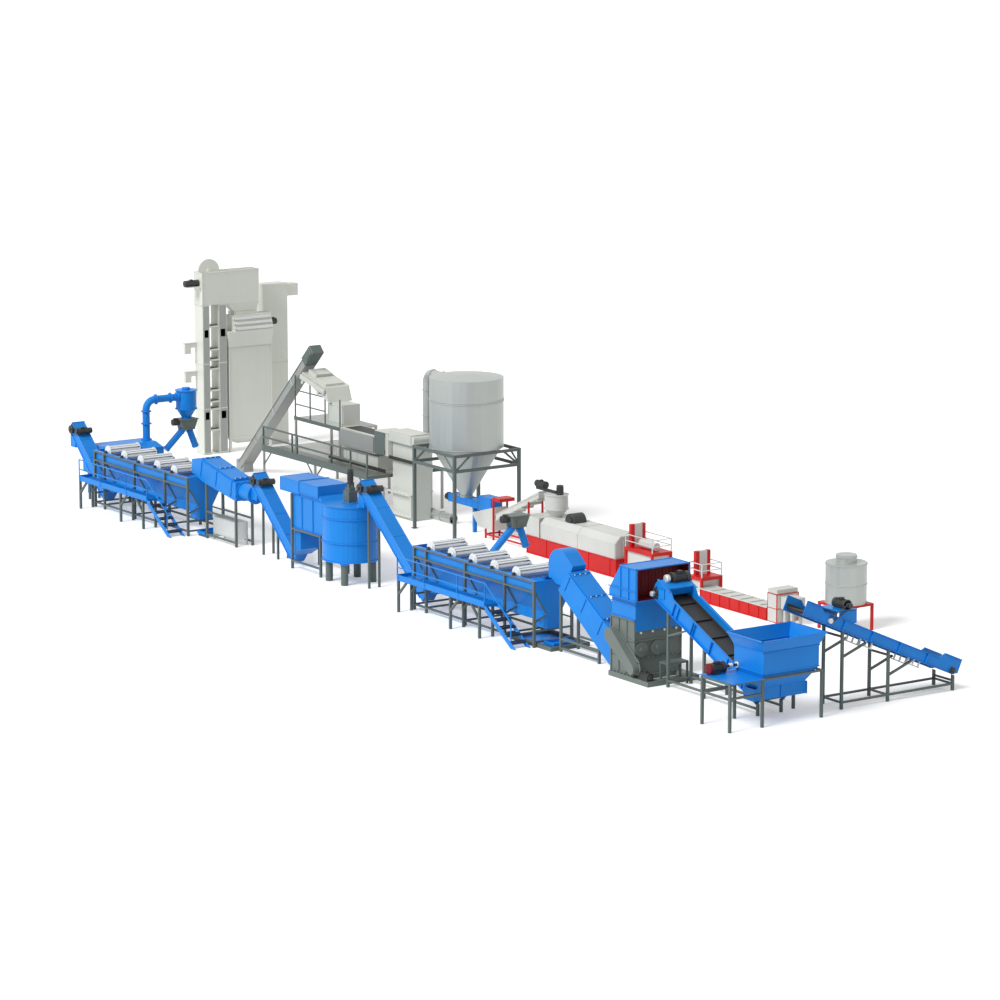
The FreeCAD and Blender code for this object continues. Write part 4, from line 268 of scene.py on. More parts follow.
class Slope:
    """The axes of a sloping machine: two directions at a right angle, and the third out of both."""

    def __init__(self, origin, first, second=(0, 1, 0)):
        first, second = Vector(first).normalized(), Vector(second).normalized()
        self.origin = Vector(origin)
        self.turn = Matrix((first, second, first.cross(second))).transposed()

    def point(self, *place):
        return self.origin + self.turn @ Vector(place)

    def slab(self, *corners):
        return laid(self.origin, self.turn, corners[:3], corners[3:])

    def strips(self, near, far, *spans):
        """Strips on both side plates, from near to far off the middle, each between two ends and heights."""
        return [self.slab(start, near * side, low, end, far * side, high)
                for side in (-1, 1) for start, low, end, high in spans]


def rod(start, end, radius, sides=16, far_radius=None):
    """A round piece from one point to another, straight or tapering."""
    start, end = Vector(start), Vector(end)
    turn = (end - start).to_track_quat("Z", "Y").to_euler()
    bpy.ops.mesh.primitive_cone_add(vertices=sides, radius1=radius, depth=(end - start).length,
                                    radius2=radius if far_radius is None else far_radius,
                                    location=(start + end) / 2, rotation=turn)
    bpy.ops.object.transform_apply(location=True, rotation=True, scale=True)
    return bpy.context.object


def axle(x, z, start, end, radius, sides=16, far_radius=None):
    """A round piece level across the line."""
    return rod((x, start, z), (x, end, z), radius, sides, far_radius)


def gather(name, pieces, material, body="root", edge=0.004):
    """Pieces welded into one, with eased edges, which rides on its body."""
    bpy.ops.object.select_all(action="DESELECT")
    for piece in pieces:
        piece.select_set(True)
    bpy.context.view_layer.objects.active = pieces[0]
    bpy.ops.object.join()
    whole = bpy.context.object
    whole.name = name
    if edge:
        bevel = whole.modifiers.new("eased", "BEVEL")
        bevel.width = edge
        bevel.limit_method = "ANGLE"
        bpy.ops.object.modifier_apply(modifier=bevel.name)
    bpy.ops.object.shade_smooth_by_angle(angle=math.radians(35))
    whole.data.materials.clear()
    whole.data.materials.append(material)
    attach(whole, body)
    bpy.ops.object.select_all(action="DESELECT")
    return whole


def motor(start, end, radius):
    """The fins, end bells, fan cover and terminal box of an electric motor, from its flange to its fan."""
    start, end = Vector(start), Vector(end)
    span = end - start
    turn = span.to_track_quat("Z", "Y").to_matrix()
    length = span.length
    pieces = [rod(start, start + span * 0.05, radius * 1.16, 20),
              rod(start + span * 0.05, start + span * 0.16, radius * 1.04, 20),
              rod(start + span * 0.8, end, radius * 1.06, 20),
              rod(end, end + span * 0.03, radius * 0.9, 20, radius * 0.7)]
    fin_count = 14
    for step in range(fin_count):
        fin_turn = turn @ Matrix.Rotation(math.radians(360 * step / fin_count), 3, "Z")
        pieces.append(laid(start, fin_turn, (radius * 0.9, -radius * 0.035, length * 0.18),
                           (radius * 1.09, radius * 0.035, length * 0.8)))
    middle = (start + end) / 2
    low, high = Vector((-0.45, -0.45, 0.9)), Vector((0.45, 0.45, 1.35))
    pieces.append(slab(*(middle + low * radius), *(middle + high * radius)))
    return pieces


def v_belt(wheel, hub, axis, wheel_reach=0.045, hub_reach=0.045):
    """Both strands of a belt between two wheels that turn on parallel axes."""
    aside = Vector(axis).cross(hub - wheel).normalized()
    return [rod(wheel + aside * wheel_reach * way, hub + aside * hub_reach * way, 0.012, 8)
            for way in (-1, 1)]


feed = Slope((3.815, 0.42, 1.9), (1, 0, 0), (0, 3.58, -1.57))
feed_length = 3.909
feed_ribs = []
for side in (-1, 1):
    plate, lip = 0.3 * side, 0.338 * side
    feed_ribs += [feed.slab(plate, 0.95 + step * 0.74, 0.004, lip, 0.962 + step * 0.74, 0.206)
                  for step in range(4)]
    for start, low, end, high in ((0.42, 0.204, 3.48, 0.214), (-0.05, -0.002, feed_length, 0.008),
                                  (-0.05, 0.28, 0.33, 0.294), (3.6, 0.322, 4.05, 0.334)):
        feed_ribs.append(feed.slab(plate, start, low, lip, end, high))
gather("feed_conveyor_ribs", feed_ribs, blue_paint)
feed_cleats = [feed.slab(-0.262, 0.3 + step * 0.56, 0.103, 0.262, 0.315 + step * 0.56, 0.138)
               for step in range(7)]
feed_cleats += [feed.slab(side - 0.006, -0.02, 0.106, side + 0.006, 3.95, 0.15)
                for side in (-0.276, 0.276)]
gather("feed_conveyor_cleats", feed_cleats, belt_rubber)
feed_drive = []
for side in (-1, 1):
    hub = feed.point(0.3 * side, 3.9, 0.07)
    feed_drive.append(feed.slab(0.3 * side, 3.84, 0.01, 0.325 * side, 3.96, 0.13))
    feed_drive.append(rod(hub, hub + Vector((0.07 * side, 0, 0)), 0.036, 20))
feed_pulley = Vector((4.14, 1.47, 1.975))
feed_hub = Vector((4.14, 1.01, 1.744))
inward = Vector((-1, 0, 0))
feed_drive += motor(feed_pulley + inward * 0.07, feed_pulley + inward * 0.44, 0.09)
feed_drive += [rod(feed_pulley + inward * 0.07, feed_pulley + inward * 0.43, 0.083, 28),
               rod(feed_pulley + inward * 0.08, feed_pulley - inward * 0.03, 0.05, 24)]
feed_drive += v_belt(feed_pulley, feed_hub, inward)
gather("feed_conveyor_drive", feed_drive, black_iron)
gather("feed_conveyor_motor_bracket", slabs((4.095, 1.24, 1.62, 4.113, 1.66, 1.885),
                                            (3.517, 1.24, 1.62, 3.535, 1.66, 1.885),
                                            (3.517, 1.24, 1.868, 4.113, 1.66, 1.888)), blue_paint)
pale_fittings = [rod(feed_hub + inward * 0.04, feed_hub - inward * 0.02, 0.052, 28)]
for at in (1.5, 2.78):
    for side in (-0.2, 0.18):
        pale_fittings.append(feed.slab(side, at, -0.12, side + 0.02, at + 0.4, -0.095))
        pale_fittings += [feed.slab(side, at + 0.04 + step * 0.15, -0.1,
                                    side + 0.02, at + 0.08 + step * 0.15, 0.01) for step in range(3)]
gather("feed_conveyor_pale_fittings", pale_fittings, stainless)

lift = Slope((0.33, 0, 1.735), (3.31, 0, -1.503))
lift_length = 3.635
lift_ribs = lift.strips(0.3, 0.345, (0.63, 0.296, lift_length - 0.03, 0.308),
                        (0.02, -0.004, lift_length, 0.008), (0.06, 0.384, 0.48, 0.396),
                        *[(at, 0.006, at + 0.012, 0.298) for at in (0.72, 1.36, 2.0, 2.64, 3.2)])
lift_ribs += [lift.slab(0.1, -0.285, 0.388, 0.4, 0.285, 0.4),
              lift.slab(0.4, -0.285, 0.235, 0.412, 0.285, 0.395)]
gather("crusher_conveyor_ribs", lift_ribs, blue_paint)
lift_cleats = [lift.slab(0.62 + step * 0.56, -0.262, 0.132, 0.636 + step * 0.56, 0.262, 0.172)
               for step in range(6)]
lift_cleats += lift.strips(0.269, 0.283, (0.42, 0.135, 3.6, 0.19))
gather("crusher_conveyor_cleats", lift_cleats, belt_rubber)
lift_drive = []
for side in (-1, 1):
    for at, size in ((0.1, 0.085), (3.58, 0.065)):
        hub = lift.point(at, 0.3 * side, 0.095)
        lift_drive += [lift.slab(at - size, 0.3 * side, 0.095 - size,
                                 at + size, 0.328 * side, 0.095 + size),
                       rod(hub, hub + Vector((0, 0.075 * side, 0)), 0.038, 20),
                       rod(hub, hub + Vector((0, 0.105 * side, 0)), 0.018, 16)]
motor_line = (0.65, 2.08)
lift_pulley = Vector((0.65, -0.15, 2.08))
lift_hub = lift.point(0.1, -0.39, 0.095)
lift_drive += motor((0.65, -0.09, 2.08), (0.65, 0.32, 2.08), 0.098)
lift_drive += [axle(*motor_line, -0.08, 0.31, 0.09, 28),
               rod(lift_pulley, lift_pulley + Vector((0, 0.07, 0)), 0.055, 24)]
lift_drive += v_belt(lift_pulley, lift_hub, (0, 1, 0))
gather("crusher_conveyor_drive", lift_drive, black_iron)
gather("crusher_conveyor_pale_hubs",
       [rod(lift_hub - Vector((0, 0.03, 0)), lift_hub + Vector((0, 0.04, 0)), 0.05, 28),
        axle(*motor_line, -0.215, -0.15, 0.08, 32),
        axle(*motor_line, -0.23, -0.215, 0.06, 32, 0.078)], stainless)
gather("crusher_conveyor_motor_seat",
       slabs((0.575, -0.08, 1.9, 0.725, 0.28, 1.985), (0.56, -0.32, 1.7, 0.74, -0.3, 1.9),
             (0.56, 0.3, 1.7, 0.74, 0.32, 1.9),
             (0.555, -0.32, 1.885, 0.745, 0.32, 1.905)), blue_paint)
dress(blue_paint, "conveyor_walls")
dress(belt_rubber, "conveyor_belts")
dress(frame_paint, "conveyor_frames", "frame_cross_ties")

# The feed hopper is a welded blue funnel with a turned-out rim over a screw trough.
# It stands on a steel frame whose deck plate carries the screw's motor, with a dark red fan cover.
mouth_red = painted("mouth_red", (0.15, 0.004, 0.008), 0.5, 0.0)


def band(left, near, low, right, far, high, width):
    """Flat strips on the four sides of a square machine, between two levels."""
    return slabs((left, near, low, right, near + width, high),
                 (left, far - width, low, right, far, high),
                 (left, near, low, left + width, far, high),
                 (right - width, near, low, right, far, high))


gather("hopper_bands", band(3.488, -0.762, 0.992, 4.396, 0.559, 1.012, 0.024)
       + band(3.486, -0.764, 1.39, 4.398, 0.561, 1.41, 0.028)
       + band(3.38, -0.87, 1.622, 4.504, 0.667, 1.646, 0.032), blue_paint)
screw_line = (3.6, 1.04)
hopper_drive = motor((3.6, -1.07, 1.04), (3.6, -1.4, 1.04), 0.098)
hopper_drive += [axle(*screw_line, -1.08, -1.39, 0.09, 28), axle(*screw_line, -1.075, -1.055, 0.06, 24)]
gather("hopper_screw_drive", hopper_drive, black_iron)
gather("hopper_fan_cover", [axle(*screw_line, -1.435, -1.385, 0.106, 32),
                            axle(*screw_line, -1.446, -1.434, 0.08, 32, 0.102)], mouth_red)
gather("hopper_screw_shaft", [axle(*screw_line, start, end, radius, 28) for start, end, radius in
                              ((-0.95, -0.87, 0.044), (-0.91, -0.9, 0.056), (-0.775, -0.738, 0.06))]
       + [axle(*screw_line, -1.06, -0.735, 0.02, 20)], stainless)
gather("hopper_trough_flanges", [slab(3.772, y, 0.424, 4.112, y + 0.014, 0.664)
                                 for y in (-0.738, -0.12, 0.488)], blue_paint)
gather("hopper_deck_plate", slabs((3.44, -1.505, 0.916, 4.44, -0.745, 0.93),
                                  (3.55, -1.42, 0.928, 3.65, -1.05, 0.965)), blue_paint)
dress(blue_paint, "feed_hopper", "hopper_screw_trough")
dress(frame_paint, "hopper_frame")

# The crusher is a heavy grey welded box with bolted flanges under a blue hood.
# Its mouth is lined dark red, and a guard covers the V belts from the motor to the rotor pulley.
crusher_grey = painted("crusher_grey", (0.165, 0.195, 0.178), 0.5, 0.03)
body_left, body_right, body_side, flange = -0.655, 0.135, 0.575, 0.026
flange_levels = (0.1, 0.44, 0.78, 1.175)
body_bands = []
for y in (-body_side, 0.548):
    body_bands += [slab(body_left, y, z, body_right, y + 0.027, z + flange) for z in flange_levels]
    body_bands += [slab(x, y, 0.1, x + flange, y + 0.027, 1.2) for x in (body_left, -0.4, -0.145, 0.108)]
body_bands += [slab(0.108, -body_side, z, body_right, body_side, z + flange) for z in flange_levels]
gather("crusher_body_flanges", body_bands, crusher_grey)
hood_side, hood_seam = 0.642, 0.024
hood_bands = slabs((0.262, -hood_side, 2.226, 0.29, hood_side, 2.25),
                   (0.262, -hood_side, 1.596, 0.29, hood_side, 1.618),
                   (0.262, -hood_side, 1.6, 0.29, -0.616, 2.25),
                   (0.262, 0.616, 1.6, 0.29, hood_side, 2.25),
                   (-0.28, -0.64, 2.238, -0.26, 0.64, 2.25))
for y, end, levels in ((-0.572, body_right, (1.205, 1.486)), (0.548, body_right, (1.205, 1.486)),
                       (-hood_side, 0.286, (1.59, 1.78)), (0.618, 0.286, (1.59, 1.78))):
    hood_bands += [slab(-0.64, y, z, end, y + hood_seam, z + 0.02) for z in levels]
for y in (-hood_side, 0.618):
    hood_bands += [slab(x, y, 1.6, x + 0.02, y + hood_seam, 2.245) for x in (-0.26, 0.0, 0.262)]
    hood_bands.append(slab(-0.272, y, 2.226, 0.286, y + hood_seam, 2.248))
gather("crusher_hood_flanges", hood_bands, blue_paint)
mouth_strips = []
for step in range(14):
    x, y = 0.02 + 0.004 * (step % 2), -0.58 + step * 0.083
    mouth_strips.append(slab(x, y, 1.66, x + 0.006, y + 0.075, 2.2))
gather("crusher_mouth_strips", mouth_strips, mouth_red, edge=0.002)
guard = Slope((-0.5, -0.5675, 0.83), (0.7, 0, -0.54))
guard_parts = [axle(-0.5, 0.83, -0.56, -body_side, 0.176, 40),
               axle(0.2, 0.29, -0.56, -body_side, 0.136, 40),
               guard.slab(0, -0.0075, -0.16, 0.884, 0.0075, 0.16)]
for y in (-0.4, -0.02):
    guard_parts += [rod((0.13, y, 0.62), (0.142, y, 0.62), 0.15, 40),
                    rod((0.14, y, 0.62), (0.165, y, 0.62), 0.05, 28)]
gather("crusher_guard_seams", guard_parts, crusher_grey)
gather("crusher_skirt_bolts",
       [rod((0.13, y, 0.955), (0.158, y, 0.955), 0.024, 20) for y in (-0.42, -0.14, 0.14, 0.42)], stainless)
gather("crusher_motor_fins", motor((0.33, -0.53, 0.175), (0.6, -0.53, 0.175), 0.075), black_iron)


def again(piece, count, offset):
    """The piece and its copies at equal steps, each with its own mesh."""
    row = [piece]
    for step in range(1, count):
        twin = piece.copy()
        twin.data = piece.data.copy()
        twin.data.transform(Matrix.Translation(Vector(offset) * step))
        bpy.context.scene.collection.objects.link(twin)
        row.append(twin)
    return row


body_bolts = []
for z in (0.113, 0.453):
    body_bolts += again(rod((body_right, -0.53, z), (0.145, -0.53, z), 0.012, 6), 10, (0, 0.118, 0))
    body_bolts += again(axle(-0.6, z, -body_side, -0.585, 0.012, 6), 7, (0.112, 0, 0))
gather("crusher_bolts", body_bolts, black_iron, edge=0)
dress(crusher_grey, "crusher_base", "crusher_body", "crusher_belt_guard")
dress(mouth_red, "crusher_mouth_curtain")
dress(blue_paint, "crusher_hood")

# The friction washers are long closed blue boxes on a slope, with a bolted lid and angle flanges.
# The first one ends in a plain round head over the tank, and small pale bolts hold each lid down.
washer_parts = []
washer_bolts = []
for washer, length, marks in ((Slope((-2.548, 0, 1.649), (1.902, 0, -1.179)), 2.2, 4),
                              (Slope((-17.024, 0, 1.802), (1.574, 0, -0.324)), 1.6, 3)):
    washer_parts += washer.strips(0.232, 0.262, (0.05, -0.012, length - 0.08, 0.004))
    for step in range(marks):
        at = 0.1 + step * (length - 0.25) / (marks - 1)
        washer_parts.append(washer.slab(at, -0.222, 0.04, at + 0.026, 0.222, 0.062))
        washer_parts += washer.strips(0.236, 0.256, (at, -0.385, at + 0.012, -0.01))
        washer_bolts += [rod(washer.point(at + 0.05, y, 0.05), washer.point(at + 0.05, y, 0.076), 0.013, 8)
                         for y in (-0.19, -0.06, 0.07, 0.2)]
gather("washer_lid_flanges", washer_parts, blue_paint)
gather("washer_lid_bolts", washer_bolts, stainless, edge=0)
inlet_z = 1.2675
gather("washer_inlet_flanges", [rod((start, 0, inlet_z), (end, 0, inlet_z), 0.222, 40)
                                for start, end in ((-14.972, -14.944), (-15.452, -15.425))], blue_paint)
dress(blue_paint, "friction_washer_housings", "friction_washer_covers")
dress(frame_paint, "friction_washer_frames")

# The float tanks are folded blue troughs with sloping walls, hung in a frame of square tube.
# A few ribs stiffen the walls, and each tank has five slatted paddle drums in flange bearings on its rims.
drum_steel = brushed("drum_steel", (0.8, 0.83, 0.84), 0.36, 0.3)
tank_lefts = {1: -7.8, 2: -21.62}
tank_length = 4.425
rim = 1.35
shaft_level = 1.382
door_face = -0.19
for number, left in tank_lefts.items():
    right = left + tank_length
    ribs = [slab(x, -0.44, 1.325, x + 0.012, 0.44, rim + 0.008) for x in (left - 0.004, right - 0.008)]
    for side in (-1, 1):
        ribs.append(slab(left, 0.405 * side, rim, right, 0.492 * side, rim + 0.008))
        for x in (left + 1.2, left + 2.64, left + 3.9):
            wall = Slope((x, 0.436 * side, 1.143), (1, 0, 0), (0, -0.261 * side, -0.453))
            ribs.append(wall.slab(0, 0.01, 0, 0.01, 0.5, -0.022 * side))
    gather(f"tank_{number}_ribs", ribs, blue_paint)
    doors = []
    for middle in (left + 0.21, right - 0.21):
        near, far = middle - 0.16, middle + 0.16
        doors += [slab(near, -0.182, 0.4, far, -0.172, 0.64),
                  axle(middle, 0.52, door_face, door_face - 0.04, 0.022, 16),
                  rod((near + 0.08, door_face - 0.04, 0.52), (far - 0.08, door_face - 0.04, 0.52), 0.009, 10)]
    gather(f"tank_{number}_cleanout_doors", doors, blue_paint)
    drum_places = [left + 0.56 + drum * 0.78 for drum in range(5)]
    bearing_feet = []
    for x in drum_places:
        for side in (-1, 1):
            bearing_feet.append(axle(x, shaft_level, 0.486 * side, 0.496 * side, 0.031, 24))
            bearing_feet += [slab(x + dx, 0.44 * side, rim, x + dx + 0.036, 0.482 * side, rim + 0.018)
                             for dx in (-0.063, 0.027)]
    gather(f"tank_{number}_bearing_feet", bearing_feet, black_iron)
    for drum, x in enumerate(drum_places, 1):
        slats = [laid(Vector((x, 0, shaft_level)), Matrix.Rotation(math.radians(30 * step + 15), 3, "Y"),
                      (0.128, -0.386, -0.02), (0.134, 0.386, 0.02)) for step in range(12)]
        for side in (-1, 1):
            slats += [axle(x, shaft_level, 0.386 * side, 0.396 * side, 0.136, 32),
                      axle(x, shaft_level, 0.396 * side, 0.406 * side, 0.05, 24)]
            for step in range(6):
                around = math.radians(60 * step)
                bolt_x, bolt_z = x + 0.1 * math.cos(around), shaft_level + 0.1 * math.sin(around)
                slats.append(axle(bolt_x, bolt_z, 0.4 * side, 0.407 * side, 0.01, 6))
        gather(f"drum_slats_{number}_{drum}", slats, drum_steel, f"paddle_drum_{number}_{drum}", 0.0015)
dress(blue_paint, "float_tank_walls", "float_tank_ends", "float_tank_cleanouts")
dress(frame_paint, "float_tank_frames")
dress(black_iron, "drum_bearings")
dress(drum_steel, *[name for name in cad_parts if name.startswith("paddle_drum_")])

# A shallow blue drip basin in a rim of grey channel lies on the floor at the first tank's end.
# It catches what the clean-out door drops.
gather("drip_basin", slabs((-4.3, -0.34, 0.008, -2.96, 0.5, 0.02)), blue_paint)
gather("drip_basin_rim",
       slabs((-4.36, -0.4, 0, -2.9, -0.34, 0.085), (-4.36, 0.5, 0, -2.9, 0.56, 0.085),
             (-4.36, -0.34, 0, -4.3, 0.5, 0.085), (-2.96, -0.34, 0, -2.9, 0.5, 0.085)), frame_paint)

# The walkways beside the tanks are blue decks of ribbed plate with tube handrails.
# Each has a kick plate along its edge and a stair of dark open treads down to the floor.
deck_level = 0.738
for number, left in tank_lefts.items():
    start, end = left + 0.04, left + 3.3
    grips = [slab(x, -0.88, deck_level, x + 0.012, -0.57, 0.742)
             for x in [start + 0.05 + 0.0815 * step for step in range(39)]]
    gather(f"walkway_{number}_grip", grips, blue_paint, edge=0)
    kick_plate = slabs((start, -0.914, 0.69, end, -0.904, 0.8),
                       (start, -0.912, 0.672, end, -0.88, 0.682),
                       (start - 0.004, -0.91, 0.69, start + 0.006, -0.54, 0.8))
    kick_plate += [slab(x, -0.925, 0.7, x + 0.05, -0.91, 0.79)
                   for x in (start + 0.03, start + 1.02, start + 2.26, end - 0.05)]
    gather(f"walkway_{number}_kick_plate", kick_plate, blue_paint)
    treads = []
    for step in range(1, 6):
        level = deck_level * (6 - step) / 6
        x = end + 1.08 * step / 6 - 0.095
        treads += [slab(bar, -0.896, level, bar + 0.022, -0.555, level + 0.008)
                   for bar in (x + 0.004, x + 0.042, x + 0.08, x + 0.118)]
        treads.append(slab(x + 0.138, -0.896, level - 0.04, x + 0.15, -0.555, level - 0.002))
    gather(f"walkway_{number}_treads", treads, black_iron, edge=0.001)
dress(blue_paint, "walkway_decks", "walkway_rails", "walkway_stairs")
dress(frame_paint, "walkway_legs")

# The screw conveyors are closed square troughs with a bolted lid, and rise to the left.
# At each head a motor drives the screw by belts under a round-ended guard.
screw_runs = {"a": (-13.18, 0.04, -14.95, 1.6), "b": (-7.96, 0.09, -10.48, 2.11),
              "c": (-21.79, 0.09, -23.42, 1.56)}
for letter, (foot_x, foot_z, head_x, head_z) in screw_runs.items():
    along = Vector((head_x - foot_x, 0, head_z - foot_z))
    length = along.length
    screw = Slope((foot_x, 0, foot_z), along, (0, -1, 0))
    lids = screw.strips(0.146, 0.172, (0.1, 0.24, length, 0.252), (0.1, -0.004, length, 0.006))
    lids += [screw.slab(length * quarter / 4, -0.16, 0.244, length * quarter / 4 + 0.016, 0.16, 0.256)
             for quarter in (1, 2, 3)]
    lids.append(screw.slab(length - 0.006, -0.17, -0.01, length + 0.012, 0.17, 0.262))
    gather(f"screw_{letter}_lid", lids, blue_paint)
    hub, head = screw.point(length - 0.1, 0, 0.125), screw.point(length - 0.33, 0, 0.32)
    hub.y, head.y = -0.155, -0.195
    out = Vector((0, -1, 0))
    drive = [rod(hub, hub + out * 0.06, 0.1, 28), rod(hub + out * 0.055, hub + out * 0.085, 0.034, 16),
             rod(head, head + out * 0.035, 0.055, 24)]
    drive += v_belt(hub + out * 0.04, head + out * 0.015, out, 0.088, 0.05)
    drive += motor((head.x, -0.16, head.z), (head.x, 0.1, head.z), 0.072)
    gather(f"screw_{letter}_drive", drive, black_iron)
dress(blue_paint, "screw_conveyor_troughs")
dress(frame_paint, "screw_conveyor_legs")


# The hot washer is a rolled blue vessel on four feet, banded by rolled angles, with an agitator on top.
# The settling box beside it is a folded tank under two bolted hoods.
def disc(x, y, z, thick, radius, sides=32, far_radius=None):
    """A round piece lying level, from its underside up."""
    return rod((x, y, z), (x, y, z + thick), radius, sides, far_radius)


vessel = (-10.94, -0.033)
vessel_bands = [disc(*vessel, z, 0.024, 0.634, 72) for z in (0.5, 0.907, 1.43, 1.7)]
vessel_bands += [disc(vessel[0] + dx, vessel[1] + dy, 0.44, 0.06, 0.095, 24, 0.125)
                 for dx in (-0.312, 0.312) for dy in (-0.357, 0.357)]
vessel_bands.append(disc(*vessel, 1.72, 0.022, 0.2))
gather("vessel_bands", vessel_bands, blue_paint)
gearbox = slabs((-11.052, -0.145, 1.735, -10.828, 0.079, 1.99),
                (-11.02, -0.113, 1.988, -10.86, 0.047, 2.06))
gearbox.append(disc(*vessel, 2.055, 0.095, 0.07, 28))
gather("agitator_gearbox", gearbox, frame_paint)
agitator = [disc(*vessel, 2.144, 0.02, 0.085, 24)]
agitator += motor((*vessel, 2.15), (*vessel, 2.455), 0.062)
gather("agitator_drive", agitator, black_iron)
box_left, box_right, box_near, box_far = -12.885, -11.56, -0.365, 0.298
settle_ribs = []
for x in (-12.43, -11.98):
    settle_ribs += slabs((x, box_near, 0.92, x + 0.014, -0.343, 1.655),
                         (x, box_far, 0.92, x + 0.014, 0.32, 1.655))
for z in (0.915, 1.645):
    settle_ribs += slabs((box_left, -0.368, z, box_right, -0.343, z + 0.016),
                         (box_left, box_far, z, box_right, 0.322, z + 0.016),
                         (-12.892, box_near, z, -12.868, 0.32, z + 0.016))
settle_ribs += slabs((-13.31, -0.372, 1.68, -12.495, -0.358, 1.7),
                     (-13.31, -0.372, 1.955, -12.495, -0.358, 1.978),
                     (-12.5, -0.388, 1.72, -11.712, -0.373, 1.74),
                     (-12.5, -0.388, 1.963, -11.712, -0.373, 1.988),
                     (-11.722, -0.388, 1.72, -11.706, 0.392, 1.99),
                     (-13.312, -0.37, 1.68, -13.298, 0.392, 1.98),
                     (-12.515, -0.39, 1.7, -12.495, 0.394, 2.0))
gather("settling_box_ribs", settle_ribs, blue_paint)
dress(blue_paint, "hot_washer_shell", "hot_washer_ends", "settling_box")
dress(frame_paint, "hot_washer_frames")

# The dewatering press is a blue housing under a low crown, on four short legs.
# A blower pipe bends from it into a cyclone, which drops the flakes into two bagging pipes.
press_parts = [slab(-22.334, y, 0.52, -22.314, y + 0.018, 1.1) for y in (0.165, 0.7, 1.24, 1.795)]
for z in (0.517, 0.8, 1.092):
    press_parts += band(-23.395, 0.165, z, -22.315, 1.815, z + 0.02, 0.017)
press_parts += slabs((-22.332, 0.86, 0.6, -22.31, 1.14, 0.78),
                     (-22.336, 0.86, 0.86, -22.31, 1.14, 1.04))
pipe_x, cyclone_y = -22.855, 2.754
press_parts += [disc(pipe_x, 1.64, z, 0.026, 0.132) for z in (1.216, 1.6, 1.9)]
press_parts += [axle(pipe_x, 2.18, y, y + 0.024, 0.128, 32) for y in (1.9, 2.3, 2.49)]
press_parts += [disc(pipe_x, cyclone_y, z, 0.024, radius, 40)
                for z, radius in ((1.64, 0.13), (1.868, 0.272), (2.318, 0.272))]
press_parts.append(disc(pipe_x, cyclone_y, 2.33, 0.07, 0.1))
gather("press_and_cyclone_flanges", press_parts, blue_paint)
chute_grey = painted("chute_grey", (0.15, 0.185, 0.17), 0.5, 0.05)
chute_parts = []
chute_pipes = []
for x, y, low, drop in ((pipe_x, cyclone_y, 1.3797, 0.5), (-8.4, 2.554, 1.33, 1.29)):
    top = low + 0.26
    chute_parts += slabs((x - 0.182, y - 0.247, top - 0.022, x + 0.182, y + 0.247, top - 0.004),
                         (x - 0.14, y - 0.17, low - 0.006, x + 0.14, y + 0.17, low + 0.014),
                         (x + 0.146, y - 0.1, low + 0.08, x + 0.166, y + 0.1, low + 0.2))
    for side, reach, fall in ((-1, 0.53, drop), (1, 0.195, 0.5)):
        foot = Vector((x, y + side * (0.05 + reach * fall / 0.5), low + 0.04 - fall))
        head = Vector((x, y + side * 0.05, low + 0.04))
        way = (head - foot).normalized()
        chute_pipes.append(rod(foot - way * 0.006, head - way * 0.055, 0.0805, 32))
        for share in (0.04, 0.8):
            spot = foot.lerp(head, share)
            chute_pipes.append(rod(spot, spot + way * 0.02, 0.09, 28))
gather("chute_flanges", chute_parts, chute_grey)
gather("chute_pipes", chute_pipes, blue_paint)
gather("chute_motors", motor((pipe_x, 2.52, 1.565), (pipe_x, 2.36, 1.565), 0.075)
       + motor((-8.4, 2.319, 1.515), (-8.4, 2.16, 1.515), 0.075), black_iron)
dress(blue_paint, "dewatering_press", "cyclone")
dress(chute_grey, "bagging_chutes")
dress(stainless, "rinse_water_tank")
dress(black_iron, "drive_motors")

# The air classifier is a twin-column elevator of pale folded sheet, bolted together in sections.
# Its head feeds a roller unit above the storage bin, and a second column stands behind.
tower_steel = brushed("tower_steel", (0.72, 0.74, 0.67), 0.45, 0.08, (3, 3, 0.1))
tower_parts = []
for near, far in ((5.132, 5.332), (5.601, 5.823)):
    tower_parts += [slab(-26.532, near - 0.014, z, -26.104, far + 0.014, z + 0.026)
                    for z in (0.02, 1.16, 2.32, 3.8)]
    tower_parts += [slab(-26.116, near + 0.04, z, -26.106, far - 0.04, z + 0.2) for z in (0.9, 3.0)]
tower_parts += [slab(-26.53, 5.108, z, -26.104, 6.797, z + 0.02) for z in (3.83, 4.635)]
tower_parts += [slab(-26.118, y, 3.84, -26.102, y + 0.02, 4.64) for y in (5.12, 6.765)]
wheel_y, wheel_z = 5.457, 4.655
tower_parts += [rod((-26.392, wheel_y, wheel_z), (-26.33, wheel_y, wheel_z), 0.312, 48),
                rod((-26.33, wheel_y, wheel_z), (-26.3, wheel_y, wheel_z), 0.075, 24)]
tower_parts += slabs((-26.47, 5.02, 4.265, -26.13, 5.12, 4.29),
                     (-26.4, 4.72, 4.29, -26.2, 5.12, 4.312))
for top in (2.85, 2.12):
    tower_parts += slabs((-26.53, 4.775, top - 0.006, -26.41, 5.132, top + 0.012),
                         (-26.53, 4.775, top - 0.272, -26.41, 4.966, top - 0.254))
gather("tower_flanges", tower_parts, tower_steel)
incline_steel = brushed("incline_steel", (0.36, 0.38, 0.36), 0.45, 0.35)
# The dark grey strips on the columns' +X faces are painted shade: that side of the pale steel is darkened to
# stand for its shade and dark reflection.
gather("tower_columns_painted_shade", slabs((-26.128, 5.15, 0.06, -26.106, 5.314, 3.79),
                                   (-26.128, 5.619, 0.06, -26.106, 5.805, 3.79)), incline_steel)
bin_front, bin_back, bin_near, bin_far = -26.098, -26.634, 5.874, 7.146
bin_parts = []
